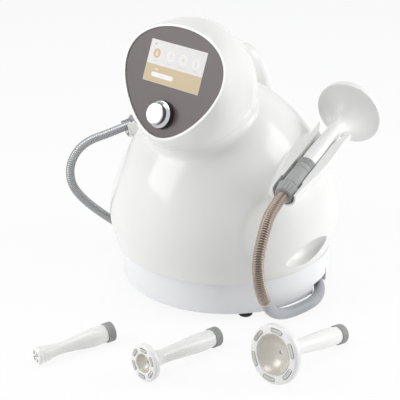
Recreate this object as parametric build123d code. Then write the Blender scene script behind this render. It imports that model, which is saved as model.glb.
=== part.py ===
"""Desk-top vacuum slimming machine: a ball-shaped body on a round base, a head with a touch screen and a knob,
two applicators docked in side cradles on their hoses, and three loose applicators that lie in front.

The frame: millimetres, +Z up, origin on the table under the centre of the base, front along -Y.
"""
from build123d import *
from math import asin, atan2, cos, degrees, pi, radians, sin, sqrt, tan
import os

# Fits and walls
RUN = 0.05             # radial clearance of a shaft that turns or slides
SEAT = 0.3             # gap between a lifted-out piece and its seat
WALL = 3.0             # moulded wall of the body and the base
TRIM = 0.4             # gap round a piece that drops into an opening

# Base
FOOT_H = 9.0
FOOT_R = 11.0
MIDDLE_R = 16.0
FOOT_AT = 151.0        # from the middle
FOOT_ANGLES = (59.0, 145.0, -145.0, -59.0)     # from the front
BASE_R = 167.8
BASE_TOP = 63.0
SEAM = 2.0             # shadow groove between base and body
BASE_EDGE = 4.0
SHOULDER_R = 160.0     # the body stands on the ring inside this radius
RING_IN = 146.0
PLATE_R = 136.0
PLATE_T = 2.0
BOSS_H = 16.0
BOSS_R = 6.0
BOSS_AT = 118.0
SCREW_R = 2.0
SCREW_HEAD_R = 3.6
SCREW_HEAD_H = 2.5
FLOOR = FOOT_H + WALL
PLATE_Z = FLOOR + BOSS_H + PLATE_T       # upper face of the chassis plate
BAY_X = (100.0, 172.0)  # where the hoses enter the base, under its rim
BAY_Y = (34.0, 82.0)
BAY_TOP = 32.0
MOUTH_TOP = 25.0       # the bay is lower at the rim
MOUTH_X = 148.0
PORT_Z = 19.0
BAY_WALL = 2.5
PORT_Y = 70.0
PORT_L = 14.0
TUBE_X = 68.0          # where the tubes from the ports rise through the chassis plate

# Body: a ball with an egg-like top, set a little forward on its base
BALL_R = 181.3
BALL_MID = 117.0       # height of the widest ring
BALL_DOWN = 155.0      # lower half axis, of which the base cuts the end off
BALL_UP = 221.5        # upper half axis
BALL_FORWARD = 6.0
BALL_POWER_R = 1.227   # how the radius and the height follow cosine and sine above the widest ring
BALL_POWER_Z = 1.163

# Head: its face leans back and is turned a few degrees to the right-hand side
HEAD_TURN = 6.4
HEAD_LEAN = 21.65
FACE_OUT = 119.7       # screen centre from the machine's axis
FACE_UP = 378.7
HEAD_R = 101.0         # widest ring of the head
HEAD_DROP = 23.0       # centre of that ring below the screen's centre
HEAD_BELLY = 34.0      # depth of the widest ring behind the face
HEAD_BACK = 118.0      # half axis from there to the back
HEAD_STATIONS = (9.0, 34.0, 70.0, 100.0, 125.0, 141.0, 149.0)
BLEND = 13.0           # soft fillet where head and ball meet
BLEND_CRADLE = 8.0
LIP = 4.0              # white lip round the panel

# Face panel: an egg with its blunt end up
EGG_W = 92.0
EGG_SKEW = 24.5
EGG_H = 81.2
EGG_DROP = 25.0
PANEL_T = 3.0
PANEL_SINK = 2.0
PANEL_LEDGE = 5.0
SCREEN_W = 110.4
SCREEN_H = 62.1
MODULE_W = 116.0
MODULE_H = 77.0
MODULE_T = 6.0
BOARD_T = 1.6

# Knob: press and turn
KNOB_DROP = 73.0
KNOB_R = 16.3
KNOB_H = 11.5
FLANGE_R = 20.3
FLANGE_T = 3.2
COLLAR_R = 19.4
COLLAR_H = 3.0
BUSH_R = 3.6
PUSH = 1.2
PUSH_GAP = 0.3
SHAFT_R = 3.0
ENCODER_R = 12.0
ENCODER_T = 9.0
ROTOR_R = 6.0
ROTOR_T = 3.0

# Hand-holds in the sides of the ball
HOLD_IN = 6.0          # axis of the scoop, inside the ball's widest ring
HOLD_Z = 97.0
HOLD_TURN = 4.1        # degrees round the ball, towards the rear
HOLD_R = 19.0
HOLD_LONG = 50.0
HOLD_TILT = 8.0
HOLD_WALL = 2.5

# Rear service panel
REAR_W = 150.0
REAR_LOW = 75.0
REAR_HIGH = 157.0
REAR_Y = 143.0         # outer face of the metal panel
REAR_T = 2.0
REAR_FRAME = 3.0
REAR_LEDGE = 7.0       # the panel lies on a ledge of this width
REAR_LEDGE_T = 4.0
INLET_W = 48.0
INLET_H = 24.0
INLET_Z = 94.0
SWITCH_W = 19.2
SWITCH_H = 13.0
SWITCH_X = 45.0
SERVICE_Z = 133.0
ROCKER_TILT = 8.0
FUSE_R = 7.5
FUSE_CAP_H = 9.0
FAN = 40.0
FAN_T = 15.0
FAN_Z = 128.5
FAN_HUB_R = 11.0
FAN_BLADES = 7

# Applicators, from the end ring at 0 to the face at their length
RING_R = 14.7
RING_L = 12.0
RING_BORE = 8.0
GRIP_R = 13.7
BORE_R = 8.5
PAD_T = 0.8
PAD_W = 5.0
LINER_T = 1.6
PORT_R = 2.5
DOCKED = {"face": 53.0, "length": 170.0, "neck": 11.5, "neck_at": 60.0, "rim": 13.0, "pads": 6, "pad_arc": 30.0}
LARGE = {"face": 43.0, "length": 155.0, "neck": 11.0, "neck_at": 50.0, "rim": 11.5, "pads": 6, "pad_arc": 32.0}
MEDIUM = {"face": 27.5, "length": 143.0, "neck": 10.5, "neck_at": 38.0, "rim": 9.0, "pads": 6, "pad_arc": 34.0}
SMALL = {"face": 13.5, "length": 125.0, "neck": 8.6, "neck_at": 38.0, "rim": 7.0, "pads": 4, "pad_arc": 44.0}
RIM_FLAT = 13.0        # width of the flat rim that carries the pads, on cups
CUP_DEPTH = 0.45       # share of the face radius

# Hose coupling, behind the end ring
COUPLING_R = 13.9
COUPLING_L = 50.0
COLLAR_LINE = 10.0
NUT_R = 16.5
NUT_END_R = 13.6
NUT_L = 17.0
NUT_FLUTES = 16
SPIGOT_R = 7.9

# Docked place of the right-hand applicator; the left-hand one is its mirror image
DOCK_X = 165.1
DOCK_Y = 2.5
DOCK_Z = 229.6
DOCK_YAW = 17.6        # inward
DOCK_PITCH = 14.8      # upward
LEFT_DEEPER = 14.0     # the left-hand one lies this much further back in its cradle

# Inside, on the chassis plate
PUMP_AT = (-10.0, 70.0, 69.0)
PUMP_R = 28.0
PUMP_L = 80.0
PUMP_SHAFT_R = 4.0
FILTER_AT = (95.0, -45.0)
FILTER_R = 20.0
FILTER_H = 60.0
VALVE_AT = (-88.0, 17.0)
SUPPLY_AT = (-60.0, -32.0)
TRANSFORMER_AT = (30.0, -15.0)
MAIN_AT = (0.0, -90.0)
RF_AT = (92.0, 12.0)
STANDOFF = 8.0
NIPPLE_R = 4.0
NIPPLE_BORE = 2.2
LEAD_R = 2.0

# Cradle: a tapering arm along the applicator, with a groove for it
CRADLE = ((-66.0, 19.4), (-50.0, 21.0), (-25.0, 23.5), (5.0, 26.5), (35.0, 27.8), (70.0, 27.0), (108.0, 27.6))
RIM_OUT = 4.0          # height of the outer and inner rims above the axis
RIM_IN = 11.0
FLARE_AT = 58.0        # from here the groove widens to the arm's tip
FLARE_R = 29.0
GROOVE_WALL = 2.5

# Hoses
HOSE_BORE = 5.0
HOSE_R = {"right": 8.8, "left": 7.2}
ROUTE = {
    # The first point is the nut's end and the last one the port in the base; both are worked out below.
    "right": [(215.1, -126.5, 186.0), (223.1, -146.4, 149.0), (221.8, -138.6, 102.0), (207.0, -111.5, 62.0),
              (190.5, -79.0, 28.0), (182.0, -43.0, 9.4), (184.0, -6.0, 9.0), (180.0, 27.0, 9.0),
              (162.0, 54.5, 12.0), (133.0, PORT_Y, PORT_Z)],
    "left": [(-206.0, -127.0, 197.0), (-211.7, -152.2, 168.0), (-211.0, -154.2, 131.0), (-205.7, -136.0, 100.0),
             (-201.0, -105.7, 68.0), (-197.0, -70.0, 36.0), (-186.0, -34.0, 9.0), (-184.0, 3.0, 7.4),
             (-178.0, 31.0, 7.4), (-159.0, 56.0, 10.5), (-131.0, PORT_Y, PORT_Z)],
}
LEAD = 38.0            # straight run out of the nut, to the route's next point
RIB_PITCH = 3.4
RIB_H = 0.7
RIB_FORM = ((0.0, 0.0), (0.25, RIB_H), (0.65, RIB_H), (1.0, 0.0))      # share of the pitch, height
RIBBED = {"right": (3.0, 208.0), "left": (3.0, 320.0)}   # stretch with ribs, along the hose

# Loose applicators: place of the end ring and the way that the face points, in degrees from +X
LOOSE = {
    "small": (SMALL, (55.0, -278.0), 262.3),
    "medium": (MEDIUM, (168.0, -172.0), 271.7),
    "large": (LARGE, (283.5, -30.0), 273.9),
}

NODES = {}


def turned(outline):
    """A solid of revolution about Z from a closed outline of (radius, height) edges."""
    return revolve(Plane.XZ * make_face(outline), Axis.Z)


def lathe(*points):
    """A solid of revolution about Z from a closed polygon of (radius, height) corners."""
    return turned(Polyline(*points, close=True))


def tube(r_out, r_in, low, high):
    """A plain ring."""
    return lathe((r_in, low), (r_out, low), (r_out, high), (r_in, high))


def disc(r, low, high):
    """A plain cylinder between two heights."""
    return Pos(0, 0, low) * Cylinder(r, high - low, align=(Align.CENTER, Align.CENTER, Align.MIN))


def block(x, y, z):
    """A box between two corners, given as pairs."""
    size = (x[1] - x[0], y[1] - y[0], z[1] - z[0])
    return Pos(x[0], y[0], z[0]) * Box(*size, align=(Align.MIN, Align.MIN, Align.MIN))


def around(shape, count, radius, start=0.0):
    """Copies of a shape on a circle about Z."""
    step = 360.0 / count
    return [Rot(0, 0, start + i * step) * Pos(radius, 0, 0) * shape for i in range(count)]


def mirrored(shape):
    """The same shape on the other side of the machine."""
    return mirror(shape, about=Plane.YZ)


def keep(name, *shapes):
    """Files the solids of one node."""
    solids = [s for shape in shapes for s in shape.solids()]
    NODES[name] = solids[0] if len(solids) == 1 else Compound(children=solids)


# The ball and the head

def ball_point(angle, inset=0.0):
    """Radius and height on the ball's profile; the angle runs from the widest ring, positive upwards."""
    r, c, s = BALL_R - inset, cos(radians(angle)), sin(radians(abs(angle)))
    if angle < 0:
        return r * c, BALL_MID - (BALL_DOWN - inset) * s
    return r * c ** BALL_POWER_R, BALL_MID + (BALL_UP - inset) * s ** BALL_POWER_Z


BODY_LOW = BASE_TOP + SEAM


def ball(inset=0.0, low=BODY_LOW):
    """The ball above a height, as a solid."""
    start = -degrees(asin((BALL_MID - low) / (BALL_DOWN - inset)))
    angles = [start, start / 2, 0.0, 18.0, 36.0, 54.0, 72.0]
    side = Spline(*[ball_point(a, inset) for a in angles])
    top = ball_point(angles[-1], inset)
    rest = Polyline(top, (0, ball_point(90.0, inset)[1]), (0, low), ball_point(start, inset))
    return Pos(0, -BALL_FORWARD, 0) * turned([side, rest])


def head_plane():
    """Origin at the screen's centre, X to the right, Y up the face, Z out of it."""
    turn, lean = radians(HEAD_TURN), radians(HEAD_LEAN)
    return Plane(
        origin=(FACE_OUT * sin(turn), -FACE_OUT * cos(turn), FACE_UP),
        x_dir=(cos(turn), sin(turn), 0),
        z_dir=(sin(turn) * cos(lean), -cos(turn) * cos(lean), sin(lean)),
    )


HEAD = head_plane()


def egg_point(angle, grow=0.0):
    """A point of the panel's outline, an egg with its blunt end up, grown by a margin."""
    a = radians(angle)
    return (EGG_W + grow + EGG_SKEW * sin(a)) * cos(a), -EGG_DROP + (EGG_H + grow) * sin(a)


def egg(grow=0.0):
    """The panel's outline as a face in the face's own plane."""
    points = [egg_point(a, grow) for a in range(0, 360, 15)]
    return make_face(Spline(*points, periodic=True))


def head_section(depth, inset=0.0):
    """A section of the head: an egg at the face that swells into a circle at the belly and closes behind."""
    share = 1 - (1 - min(depth / HEAD_BELLY, 1)) ** 2
    shrink = sqrt(1 - (max(depth - HEAD_BELLY, 0) / HEAD_BACK) ** 2)
    ring = (HEAD_R - inset) * shrink
    points = []
    for a in range(0, 360, 15):
        x, y = egg_point(a, LIP - inset)
        cx, cy = ring * cos(radians(a)), -HEAD_DROP + ring * sin(radians(a))
        points.append((x + share * (cx - x), y + share * (cy - y), -depth))
    return Face(Wire(Spline(*points, periodic=True)))


def head(first=0.0, inset=0.0):
    """The head as a solid through its sections, from a depth behind the face to its blunt end in the ball."""
    depths = [first] + [d for d in HEAD_STATIONS if d > first + 4]
    return HEAD.location * Solid.make_loft([head_section(d, inset).outer_wire() for d in depths])


def blended(first, second, radius):
    """Two solids fused, with a soft fillet along the line where their skins meet."""
    whole = first + second
    line = [e for e in whole.edges() if all(
        min(f.distance_to(Vertex(*e.position_at(0.5))) for f in part.faces()) < 0.02 for part in (first, second))]
    return whole.fillet(radius, line)


def hold_scoop(grow=0.0):
    """The finger scoop in the right-hand side, a spindle whose tips end outside the ball."""
    arc = ThreePointArc((-HOLD_LONG - grow, 0), (0, -HOLD_R - grow), (HOLD_LONG + grow, 0))
    solid = revolve(make_face([arc, Line(arc @ 1, arc @ 0)]), Axis.X)
    place = Pos(0, -BALL_FORWARD, 0) * Rot(0, 0, HOLD_TURN) * Pos(BALL_R - HOLD_IN, 0, HOLD_Z)
    return place * Rot(HOLD_TILT, 0, 0) * Rot(0, 0, 90) * solid


def rear_box(margin, y):
    """A box through the rear opening."""
    return block((-REAR_W / 2 - margin, REAR_W / 2 + margin), y, (REAR_LOW - margin, REAR_HIGH + margin))


def cradle_arm():
    """The right-hand cradle before its groove is cut: round sections along the docked axis."""
    rings = [Wire.make_circle(r, Plane(origin=(0, 0, z))) for z, r in CRADLE]
    return DOCK * Solid.make_loft(rings)


def slot(r, low, high):
    """A round-bottomed slot, open upwards."""
    outline = [ThreePointArc((-r, 0), (0, -r), (r, 0)), Polyline((r, 0), (r, 60), (-r, 60), (-r, 0))]
    return Pos(0, 0, low) * extrude(make_face(outline), high - low)


def cradle_cuts():
    """What the applicator needs: the groove, its flare, the nut's wider end, and the space above the rims."""
    low, high = CRADLE[0][0] - 1, CRADLE[-1][0] + 1
    grip, nut = RING_R + SEAT, NUT_R + SEAT
    flare = Spline((grip - 1, FLARE_AT - 4), (FLARE_R, high), tangents=((0.1, 1), (1, 1.6)))
    widened = turned([flare, Polyline((FLARE_R, high), (0, high), (0, FLARE_AT - 4), (grip - 1, FLARE_AT - 4))])
    slope = degrees(atan2(RIM_IN - RIM_OUT, 2 * grip))
    above = Pos(0, (RIM_IN + RIM_OUT) / 2, 0) * Rot(0, 0, slope) * block((-90, 90), (0, 90), (low, high))
    above = DOCK * above - ball(-SEAT)
    cuts = [slot(grip, -COUPLING_L, high), slot(nut, low, LEFT_DEEPER - COUPLING_L + SEAT), widened]
    return [above] + [DOCK * cut for cut in cuts]


def groove_wall():
    """What stays solid round the groove, inside the ball, so that the groove never opens into it."""
    grip, nut = RING_R + SEAT + GROOVE_WALL, NUT_R + SEAT + GROOVE_WALL
    low, step, high = CRADLE[0][0] - 2, LEFT_DEEPER - COUPLING_L + 2 * GROOVE_WALL, CRADLE[-1][0] + 2
    return DOCK * lathe((0, low), (nut, low), (nut, step), (grip, step), (grip, FLARE_AT - 4),
                        (FLARE_R + GROOVE_WALL + 1, high), (0, high))


def body_shell():
    """The white one-piece housing: ball, head, cradles, scoops and the frame of the rear opening."""
    outer = blended(ball(), head(), BLEND)
    outer = blended(outer, cradle_arm(), BLEND_CRADLE)
    outer = blended(outer, mirrored(cradle_arm()), BLEND_CRADLE)
    face_wall = PANEL_SINK + PANEL_T + WALL
    inner = ball(WALL, BODY_LOW + WALL) + head(face_wall, WALL)
    inner = inner - hold_scoop(HOLD_WALL) - mirrored(hold_scoop(HOLD_WALL))
    inner -= rear_box(REAR_FRAME, (REAR_Y - REAR_T - REAR_LEDGE_T, 2 * BALL_R))
    inner = inner - groove_wall() - mirrored(groove_wall())
    shell = outer - inner
    for cut in cradle_cuts():
        shell = shell - cut - mirrored(cut)
    shell = shell - hold_scoop() - mirrored(hold_scoop())
    shell -= HEAD.location * extrude(egg(-PANEL_LEDGE), face_wall + 1, both=True)
    shell -= HEAD.location * Pos(0, 0, -PANEL_SINK - PANEL_T) * extrude(egg(TRIM), 3 * PANEL_T)
    shell -= disc(RING_IN, 0, BODY_LOW + 2 * WALL)
    shell -= rear_box(0, (REAR_Y - REAR_T, 2 * BALL_R))
    shell -= rear_box(-REAR_LEDGE, (REAR_Y / 2, 2 * BALL_R))
    for screw in rear_screws():
        shell -= screw
    for screw in body_screws():
        shell -= screw
    return shell


# Base

def around_front(shape, angles, radius):
    """Copies of a shape at angles from the front."""
    return [Rot(0, 0, a - 90) * Pos(radius, 0, 0) * shape for a in angles]


def hose_bay(margin):
    """The pocket under the base's rim, on the right-hand side, where the hose enters."""
    low = FOOT_H if margin else 0
    y = (BAY_Y[0] - margin, BAY_Y[1] + margin)
    pocket = block((BAY_X[0] - margin, MOUTH_X + margin), y, (low, BAY_TOP + margin))
    return pocket + block((MOUTH_X - 1, BAY_X[1]), y, (low, MOUTH_TOP + margin))


def hose_port(side, bore=NIPPLE_BORE):
    """The nipple in the bay's inner wall that the hose meets."""
    nipple = disc(HOSE_R[side] - 0.6, 0, PORT_L)
    if bore:
        nipple -= disc(bore, -1, PORT_L + 1)
    nipple = Pos(BAY_X[0], PORT_Y, PORT_Z) * Rot(0, -90, 0) * nipple
    return nipple if side == "right" else mirrored(nipple)


def body_screws():
    """Screws from the base's shoulder up into the body's flange."""
    screw = disc(SCREW_R, BASE_TOP - WALL, BODY_LOW + WALL)
    screw += disc(SCREW_HEAD_R, BASE_TOP - WALL - SCREW_HEAD_H, BASE_TOP - WALL)
    return around_front(screw, (20, 80, 160, -160, -80, -20), (SHOULDER_R + RING_IN) / 2)


def foot_screws():
    """One screw in each foot, up into the floor of the base."""
    screw = disc(SCREW_R, FOOT_H / 2, FLOOR) + disc(SCREW_HEAD_R, FOOT_H / 2 - SCREW_HEAD_H, FOOT_H / 2)
    return around_front(screw, FOOT_ANGLES, FOOT_AT)


def plate_screws():
    """Screws down through the chassis plate into the bosses."""
    screw = disc(SCREW_R, FLOOR + 1, PLATE_Z) + disc(SCREW_HEAD_R, PLATE_Z, PLATE_Z + SCREW_HEAD_H)
    return around(screw, 4, BOSS_AT, 45)


def base_tray():
    """The round base: floor and wall, a shoulder that carries the body, bosses, and a bay for each hose."""
    cup = lathe((0, FOOT_H), (BASE_R, FOOT_H), (BASE_R, BASE_TOP), (SHOULDER_R, BASE_TOP),
                (SHOULDER_R, BODY_LOW), (RING_IN, BODY_LOW), (RING_IN, BASE_TOP - WALL),
                (BASE_R - WALL, BASE_TOP - WALL), (BASE_R - WALL, FLOOR), (0, FLOOR))
    rim = cup.edges().filter_by(GeomType.CIRCLE).group_by(Axis.Z)[0]
    tray = fillet(rim.sort_by(SortBy.LENGTH)[-1], BASE_EDGE)
    bay = hose_bay(BAY_WALL) & disc(BASE_R - 1, FOOT_H, BASE_TOP)
    for piece in (bay, mirrored(bay), *around(disc(BOSS_R, FLOOR, FLOOR + BOSS_H), 4, BOSS_AT, 45)):
        tray += piece
    tools = [hose_bay(0), mirrored(hose_bay(0)), hose_port("right", 0), hose_port("left", 0)]
    tools += around(block((-22, 22), (-2, 2), (0, FLOOR + 1)), 6, PLATE_R / 2)
    for tool in tools + foot_screws() + plate_screws() + body_screws():
        tray -= tool
    return tray


def rubber_feet():
    """Four feet, each recessed for its screw, and a plain pad in the middle, under the pump."""
    foot = disc(FOOT_R, 0, FOOT_H)
    foot = chamfer(foot.edges().sort_by(Axis.Z)[0], 1.5)
    foot -= disc(SCREW_HEAD_R, -1, FOOT_H / 2)
    foot -= disc(SCREW_R, 0, FOOT_H + 1)
    middle = disc(MIDDLE_R, 0, FOOT_H)
    return around_front(foot, FOOT_ANGLES, FOOT_AT) + [chamfer(middle.edges().sort_by(Axis.Z)[0], 1.5)]


def chassis_plate():
    """A steel disc that carries the pump, the supply and the boards."""
    plate = disc(PLATE_R, PLATE_Z - PLATE_T, PLATE_Z)
    tools = around(disc(SCREW_R, 0, PLATE_Z + 1), 4, BOSS_AT, 45)
    tools += [hose_bay(BAY_WALL + 1), mirrored(hose_bay(BAY_WALL + 1))]
    tools += [Pos(x, PORT_Y, 0) * disc(NIPPLE_R + 2, 0, 99) for x in (-TUBE_X, TUBE_X)]
    for tool in tools:
        plate -= tool
    return plate


# Face

def screen_cut(grow, low, high):
    """A box round the screen's centre in the face's plane."""
    w, h = SCREEN_W / 2 + grow, SCREEN_H / 2 + grow
    return block((-w, w), (-h, h), (low, high))


def face_panel():
    """The taupe panel, with a window for the screen and a hole for the encoder's bush."""
    panel = Pos(0, 0, -PANEL_SINK - PANEL_T) * extrude(egg(0), PANEL_T)
    panel = chamfer(panel.edges().sort_by(Axis.Z)[-1], 0.4)
    panel -= screen_cut(RUN, -PANEL_SINK - PANEL_T - 1, 1)
    panel -= Pos(0, -KNOB_DROP, 0) * disc(BUSH_R, -20, 20)
    return HEAD.location * panel


def display_screen():
    """The glass of the touch screen, level with the panel."""
    back = -PANEL_SINK - PANEL_T
    return HEAD.location * screen_cut(0, back, back + PANEL_T)


def display_module():
    """The metal-backed display behind the panel, with its driver board."""
    top = -PANEL_SINK - PANEL_T
    w, h = MODULE_W / 2, MODULE_H / 2
    frame = block((-w, w), (-h, h), (top - MODULE_T, top))
    board = block((-w + 6, w - 6), (-h + 6, h - 6), (top - MODULE_T - 5 - BOARD_T, top - MODULE_T - 5))
    legs = [Pos(x * (w - 12), y * (h - 12), 0) * disc(2.5, top - MODULE_T - 5, top - MODULE_T)
            for x in (-1, 1) for y in (-1, 1)]
    for leg in legs:
        frame += leg
    frame += board
    return HEAD.location * frame


def knob_place():
    """The knob's axis in the head's frame, at the panel's front face."""
    return HEAD.location * Pos(0, -KNOB_DROP, -PANEL_SINK)


def knob_collar():
    """A black bush fixed to the panel round the encoder's shaft."""
    collar = tube(COLLAR_R, BUSH_R, 0, COLLAR_H)
    return knob_place() * fillet(collar.edges().group_by(Axis.Z)[-1], 0.6)


KNOB_LOW = COLLAR_H + PUSH + PUSH_GAP           # underside of the flange, above the panel


def knob_cap():
    """The polished knob: flange, grip and its shaft, which slides in the encoder's rotor."""
    high = KNOB_LOW + FLANGE_T
    body = lathe((0, KNOB_LOW), (FLANGE_R, KNOB_LOW), (FLANGE_R, high - 1), (FLANGE_R - 1.5, high),
                 (KNOB_R + 1.2, high), (KNOB_R, high + 1.2), (KNOB_R, high + KNOB_H - 1.5),
                 (KNOB_R - 1.5, high + KNOB_H), (0, high + KNOB_H))
    shaft = disc(SHAFT_R, -PANEL_T - ROTOR_T - 2, KNOB_LOW)
    return knob_place() * (body + shaft)


def encoder_rotor():
    """The detent rotor that turns with the shaft."""
    return knob_place() * tube(ROTOR_R, SHAFT_R + RUN, -PANEL_T - ROTOR_T - 0.5, -PANEL_T - 0.5)


def encoder_body():
    """The encoder's case behind the panel, open at the front for its rotor."""
    back = -PANEL_T - ENCODER_T
    case = disc(ENCODER_R, back, -PANEL_T)
    case -= disc(ROTOR_R + RUN, -PANEL_T - ROTOR_T - 0.5 - RUN, 0)
    case -= disc(SHAFT_R + 0.5, -PANEL_T - ROTOR_T - 2 - PUSH - 1, 0)
    return knob_place() * case


# Applicators

def cup_inner(kind):
    """Radius inside the flat rim."""
    return kind["face"] - RIM_FLAT if kind["face"] > 20 else 4.0


def applicator_outline(kind):
    """The outer profile: grip, waist, flare, rounded rim and flat face, as edges in (radius, height)."""
    face, length = kind["face"], kind["length"]
    waist = length - kind["neck_at"]
    back = length - kind["rim"]
    grip = Spline((GRIP_R - 0.8, RING_L), (GRIP_R, RING_L + 0.3 * (waist - RING_L)), (kind["neck"], waist),
                  tangents=((0.02, 1), (0, 1)))
    slope = (1, 0.35) if face > 20 else (0, 1)
    flare = Spline((kind["neck"], waist), (face - 1.2, back), tangents=((0, 1), slope))
    edge = Spline((face - 1.2, back), (face, back + 0.45 * kind["rim"]), (face - 3.5, length),
                  tangents=(slope, (-1, 0.15)))
    close = Polyline((face - 3.5, length), (0, length), (0, RING_L), (GRIP_R - 0.8, RING_L))
    return [grip, flare, edge, close]


def dish(kind, lift=0.0):
    """The hollow of the cup, from the face down."""
    r, length = cup_inner(kind), kind["length"] + lift
    depth = CUP_DEPTH * kind["face"]
    arc = ThreePointArc((r, length), (0.72 * r, length - 0.62 * depth), (0, length - depth))
    return turned([arc, Polyline((0, length - depth), (0, length + 1), (r, length + 1), (r, length))])


def applicator_shell(kind):
    """The white moulding, bored for air and wires, with a dished cup."""
    shell = turned(applicator_outline(kind))
    depth = CUP_DEPTH * kind["face"]
    if kind["face"] > 20:
        shell -= dish(kind)
        low = kind["length"] - depth - WALL
    else:
        low = kind["length"] - 2 * WALL
    shell -= lathe((0, 0), (BORE_R, 0), (BORE_R, kind["length"] - kind["neck_at"] - 15),
                   (kind["neck"] - 3.0, kind["length"] - kind["neck_at"]), (kind["neck"] - 3.0, low), (0, low))
    shell -= disc(PORT_R, 0, kind["length"] + 1)
    return shell


def applicator_liner(kind):
    """The pearly inner cup, a thin dish with the suction port in its middle."""
    liner = dish(kind) - dish(kind, LINER_T)
    liner &= disc(kind["face"], 0, kind["length"] - 0.5)
    return liner - disc(PORT_R, 0, kind["length"] + 1)


def applicator_pads(kind):
    """Metal contact pads on the flat rim."""
    if kind["face"] > 20:
        middle = cup_inner(kind) + 0.42 * RIM_FLAT
        width = PAD_W if kind["face"] > 35 else PAD_W - 0.6
    else:
        middle, width = 6.6, 2.8
    high = kind["length"] + PAD_T
    ring = tube(middle + width / 2, middle - width / 2, kind["length"], high)
    wedge = Pos(0, 0, kind["length"]) * extrude(
        make_face(Polyline((0, 0), (99, -99 * tan(radians(kind["pad_arc"] / 2))),
                           (99, 99 * tan(radians(kind["pad_arc"] / 2))), close=True)), PAD_T)
    pad = ring & wedge
    pad = fillet(pad.edges().filter_by(Axis.Z), 0.3 * width)
    return [Rot(0, 0, (i + 0.5) * 360 / kind["pads"]) * pad for i in range(kind["pads"])]


def applicator_ring():
    """The grey end ring that the hose coupling plugs into."""
    ring = tube(RING_R, RING_BORE, 0, RING_L)
    for groove in (3.0, 6.0, 9.0):
        ring -= tube(RING_R + 1, RING_R - 0.5, groove - 0.5, groove + 0.5)
    return ring


def file_applicator(name, kind, place, flip=False):
    """Files the nodes of one applicator at its place."""
    side = mirrored if flip else (lambda s: s)
    keep(name + "_shell", side(place * applicator_shell(kind)))
    if kind["face"] > 20:
        keep(name + "_liner", side(place * applicator_liner(kind)))
    keep(name + "_pads", *[side(place * p) for p in applicator_pads(kind)])
    keep(name + "_ring", side(place * applicator_ring()))


def axis_place(origin, direction, up=(0, 0, 1)):
    """A location with Z along a direction and Y as near upwards as it can be."""
    z = Vector(*direction).normalized()
    y = (Vector(*up) - z * Vector(*up).dot(z)).normalized()
    return Plane(origin=origin, x_dir=y.cross(z), z_dir=z).location


def docked_direction():
    """The right-hand applicator's axis, from its ring to its cup."""
    yaw, pitch = radians(DOCK_YAW), radians(DOCK_PITCH)
    return -sin(yaw) * cos(pitch), cos(yaw) * cos(pitch), sin(pitch)


DOCK = axis_place((DOCK_X, DOCK_Y, DOCK_Z), docked_direction())


def loose_place(kind, spot, heading):
    """An applicator lying on the table, on its end ring and on the rim of its cup."""
    widest_at = kind["length"] - 0.55 * kind["rim"]
    tilt = asin((kind["face"] - RING_R) / widest_at) if kind["face"] > RING_R else 0.0
    direction = (cos(radians(heading)) * cos(tilt), sin(radians(heading)) * cos(tilt), sin(tilt))
    height = RING_R * cos(tilt)
    if kind["face"] < RING_R:
        tilt = asin((kind["face"] - RING_R) / widest_at)
        direction = (cos(radians(heading)) * cos(tilt), sin(radians(heading)) * cos(tilt), sin(tilt))
        height = RING_R * cos(tilt) - RING_L * sin(tilt)
    return axis_place((spot[0], spot[1], height), direction)


# Coupling, cradle and hose

def coupling():
    """The grey connector on the hose: a body with a joint line and a spigot that plugs into the ring."""
    body = disc(COUPLING_R, -COUPLING_L, 0)
    body -= tube(COUPLING_R + 1, COUPLING_R - 0.6, -COLLAR_LINE - 0.8, -COLLAR_LINE)
    body += disc(SPIGOT_R, -COUPLING_L - NUT_L, RING_L - 1)
    return body - disc(HOSE_BORE, -COUPLING_L - NUT_L - 1, RING_L)


def coupling_nut():
    """The tapered nut that clamps the hose, with shallow flutes."""
    low, high = -COUPLING_L - NUT_L, -COUPLING_L - RUN
    nut = lathe((SPIGOT_R + RUN, low), (NUT_END_R, low), (NUT_R, high - 3), (NUT_R, high), (SPIGOT_R + RUN, high))
    for flute in around(Rot(0, -degrees(atan2(NUT_R - NUT_END_R, NUT_L)), 0) * disc(0.9, -2, NUT_L + 2),
                        NUT_FLUTES, NUT_END_R + 0.6):
        nut -= Pos(0, 0, low) * flute
    return nut


def hose_points(side):
    """The route's points, from the nut's end to the port in the base."""
    deeper = LEFT_DEEPER if side == "left" else 0.0
    start = DOCK * Pos(0, 0, deeper - COUPLING_L - NUT_L)
    points = [(start * Pos(0, 0, -along)).position for along in (0, LEAD)]
    points = [(-p.X if side == "left" else p.X, p.Y, p.Z) for p in points]
    end = (BAY_X[0] if side == "right" else -BAY_X[0], PORT_Y, PORT_Z)
    return points + ROUTE[side] + [end]


def hose_path(side):
    """Straight runs with an arc at each corner, as large as the two runs allow."""
    points = [Vector(*p) for p in hose_points(side)]
    radii = []
    for a, b, c in zip(points, points[1:], points[2:]):
        half = radians((b - a).get_angle(c - b)) / 2
        radii.append(round(0.45 * min((b - a).length, (c - b).length) / tan(half), 2))
    print(side, "hose radii", radii)
    return FilletPolyline(*points, radius=radii)


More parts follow.
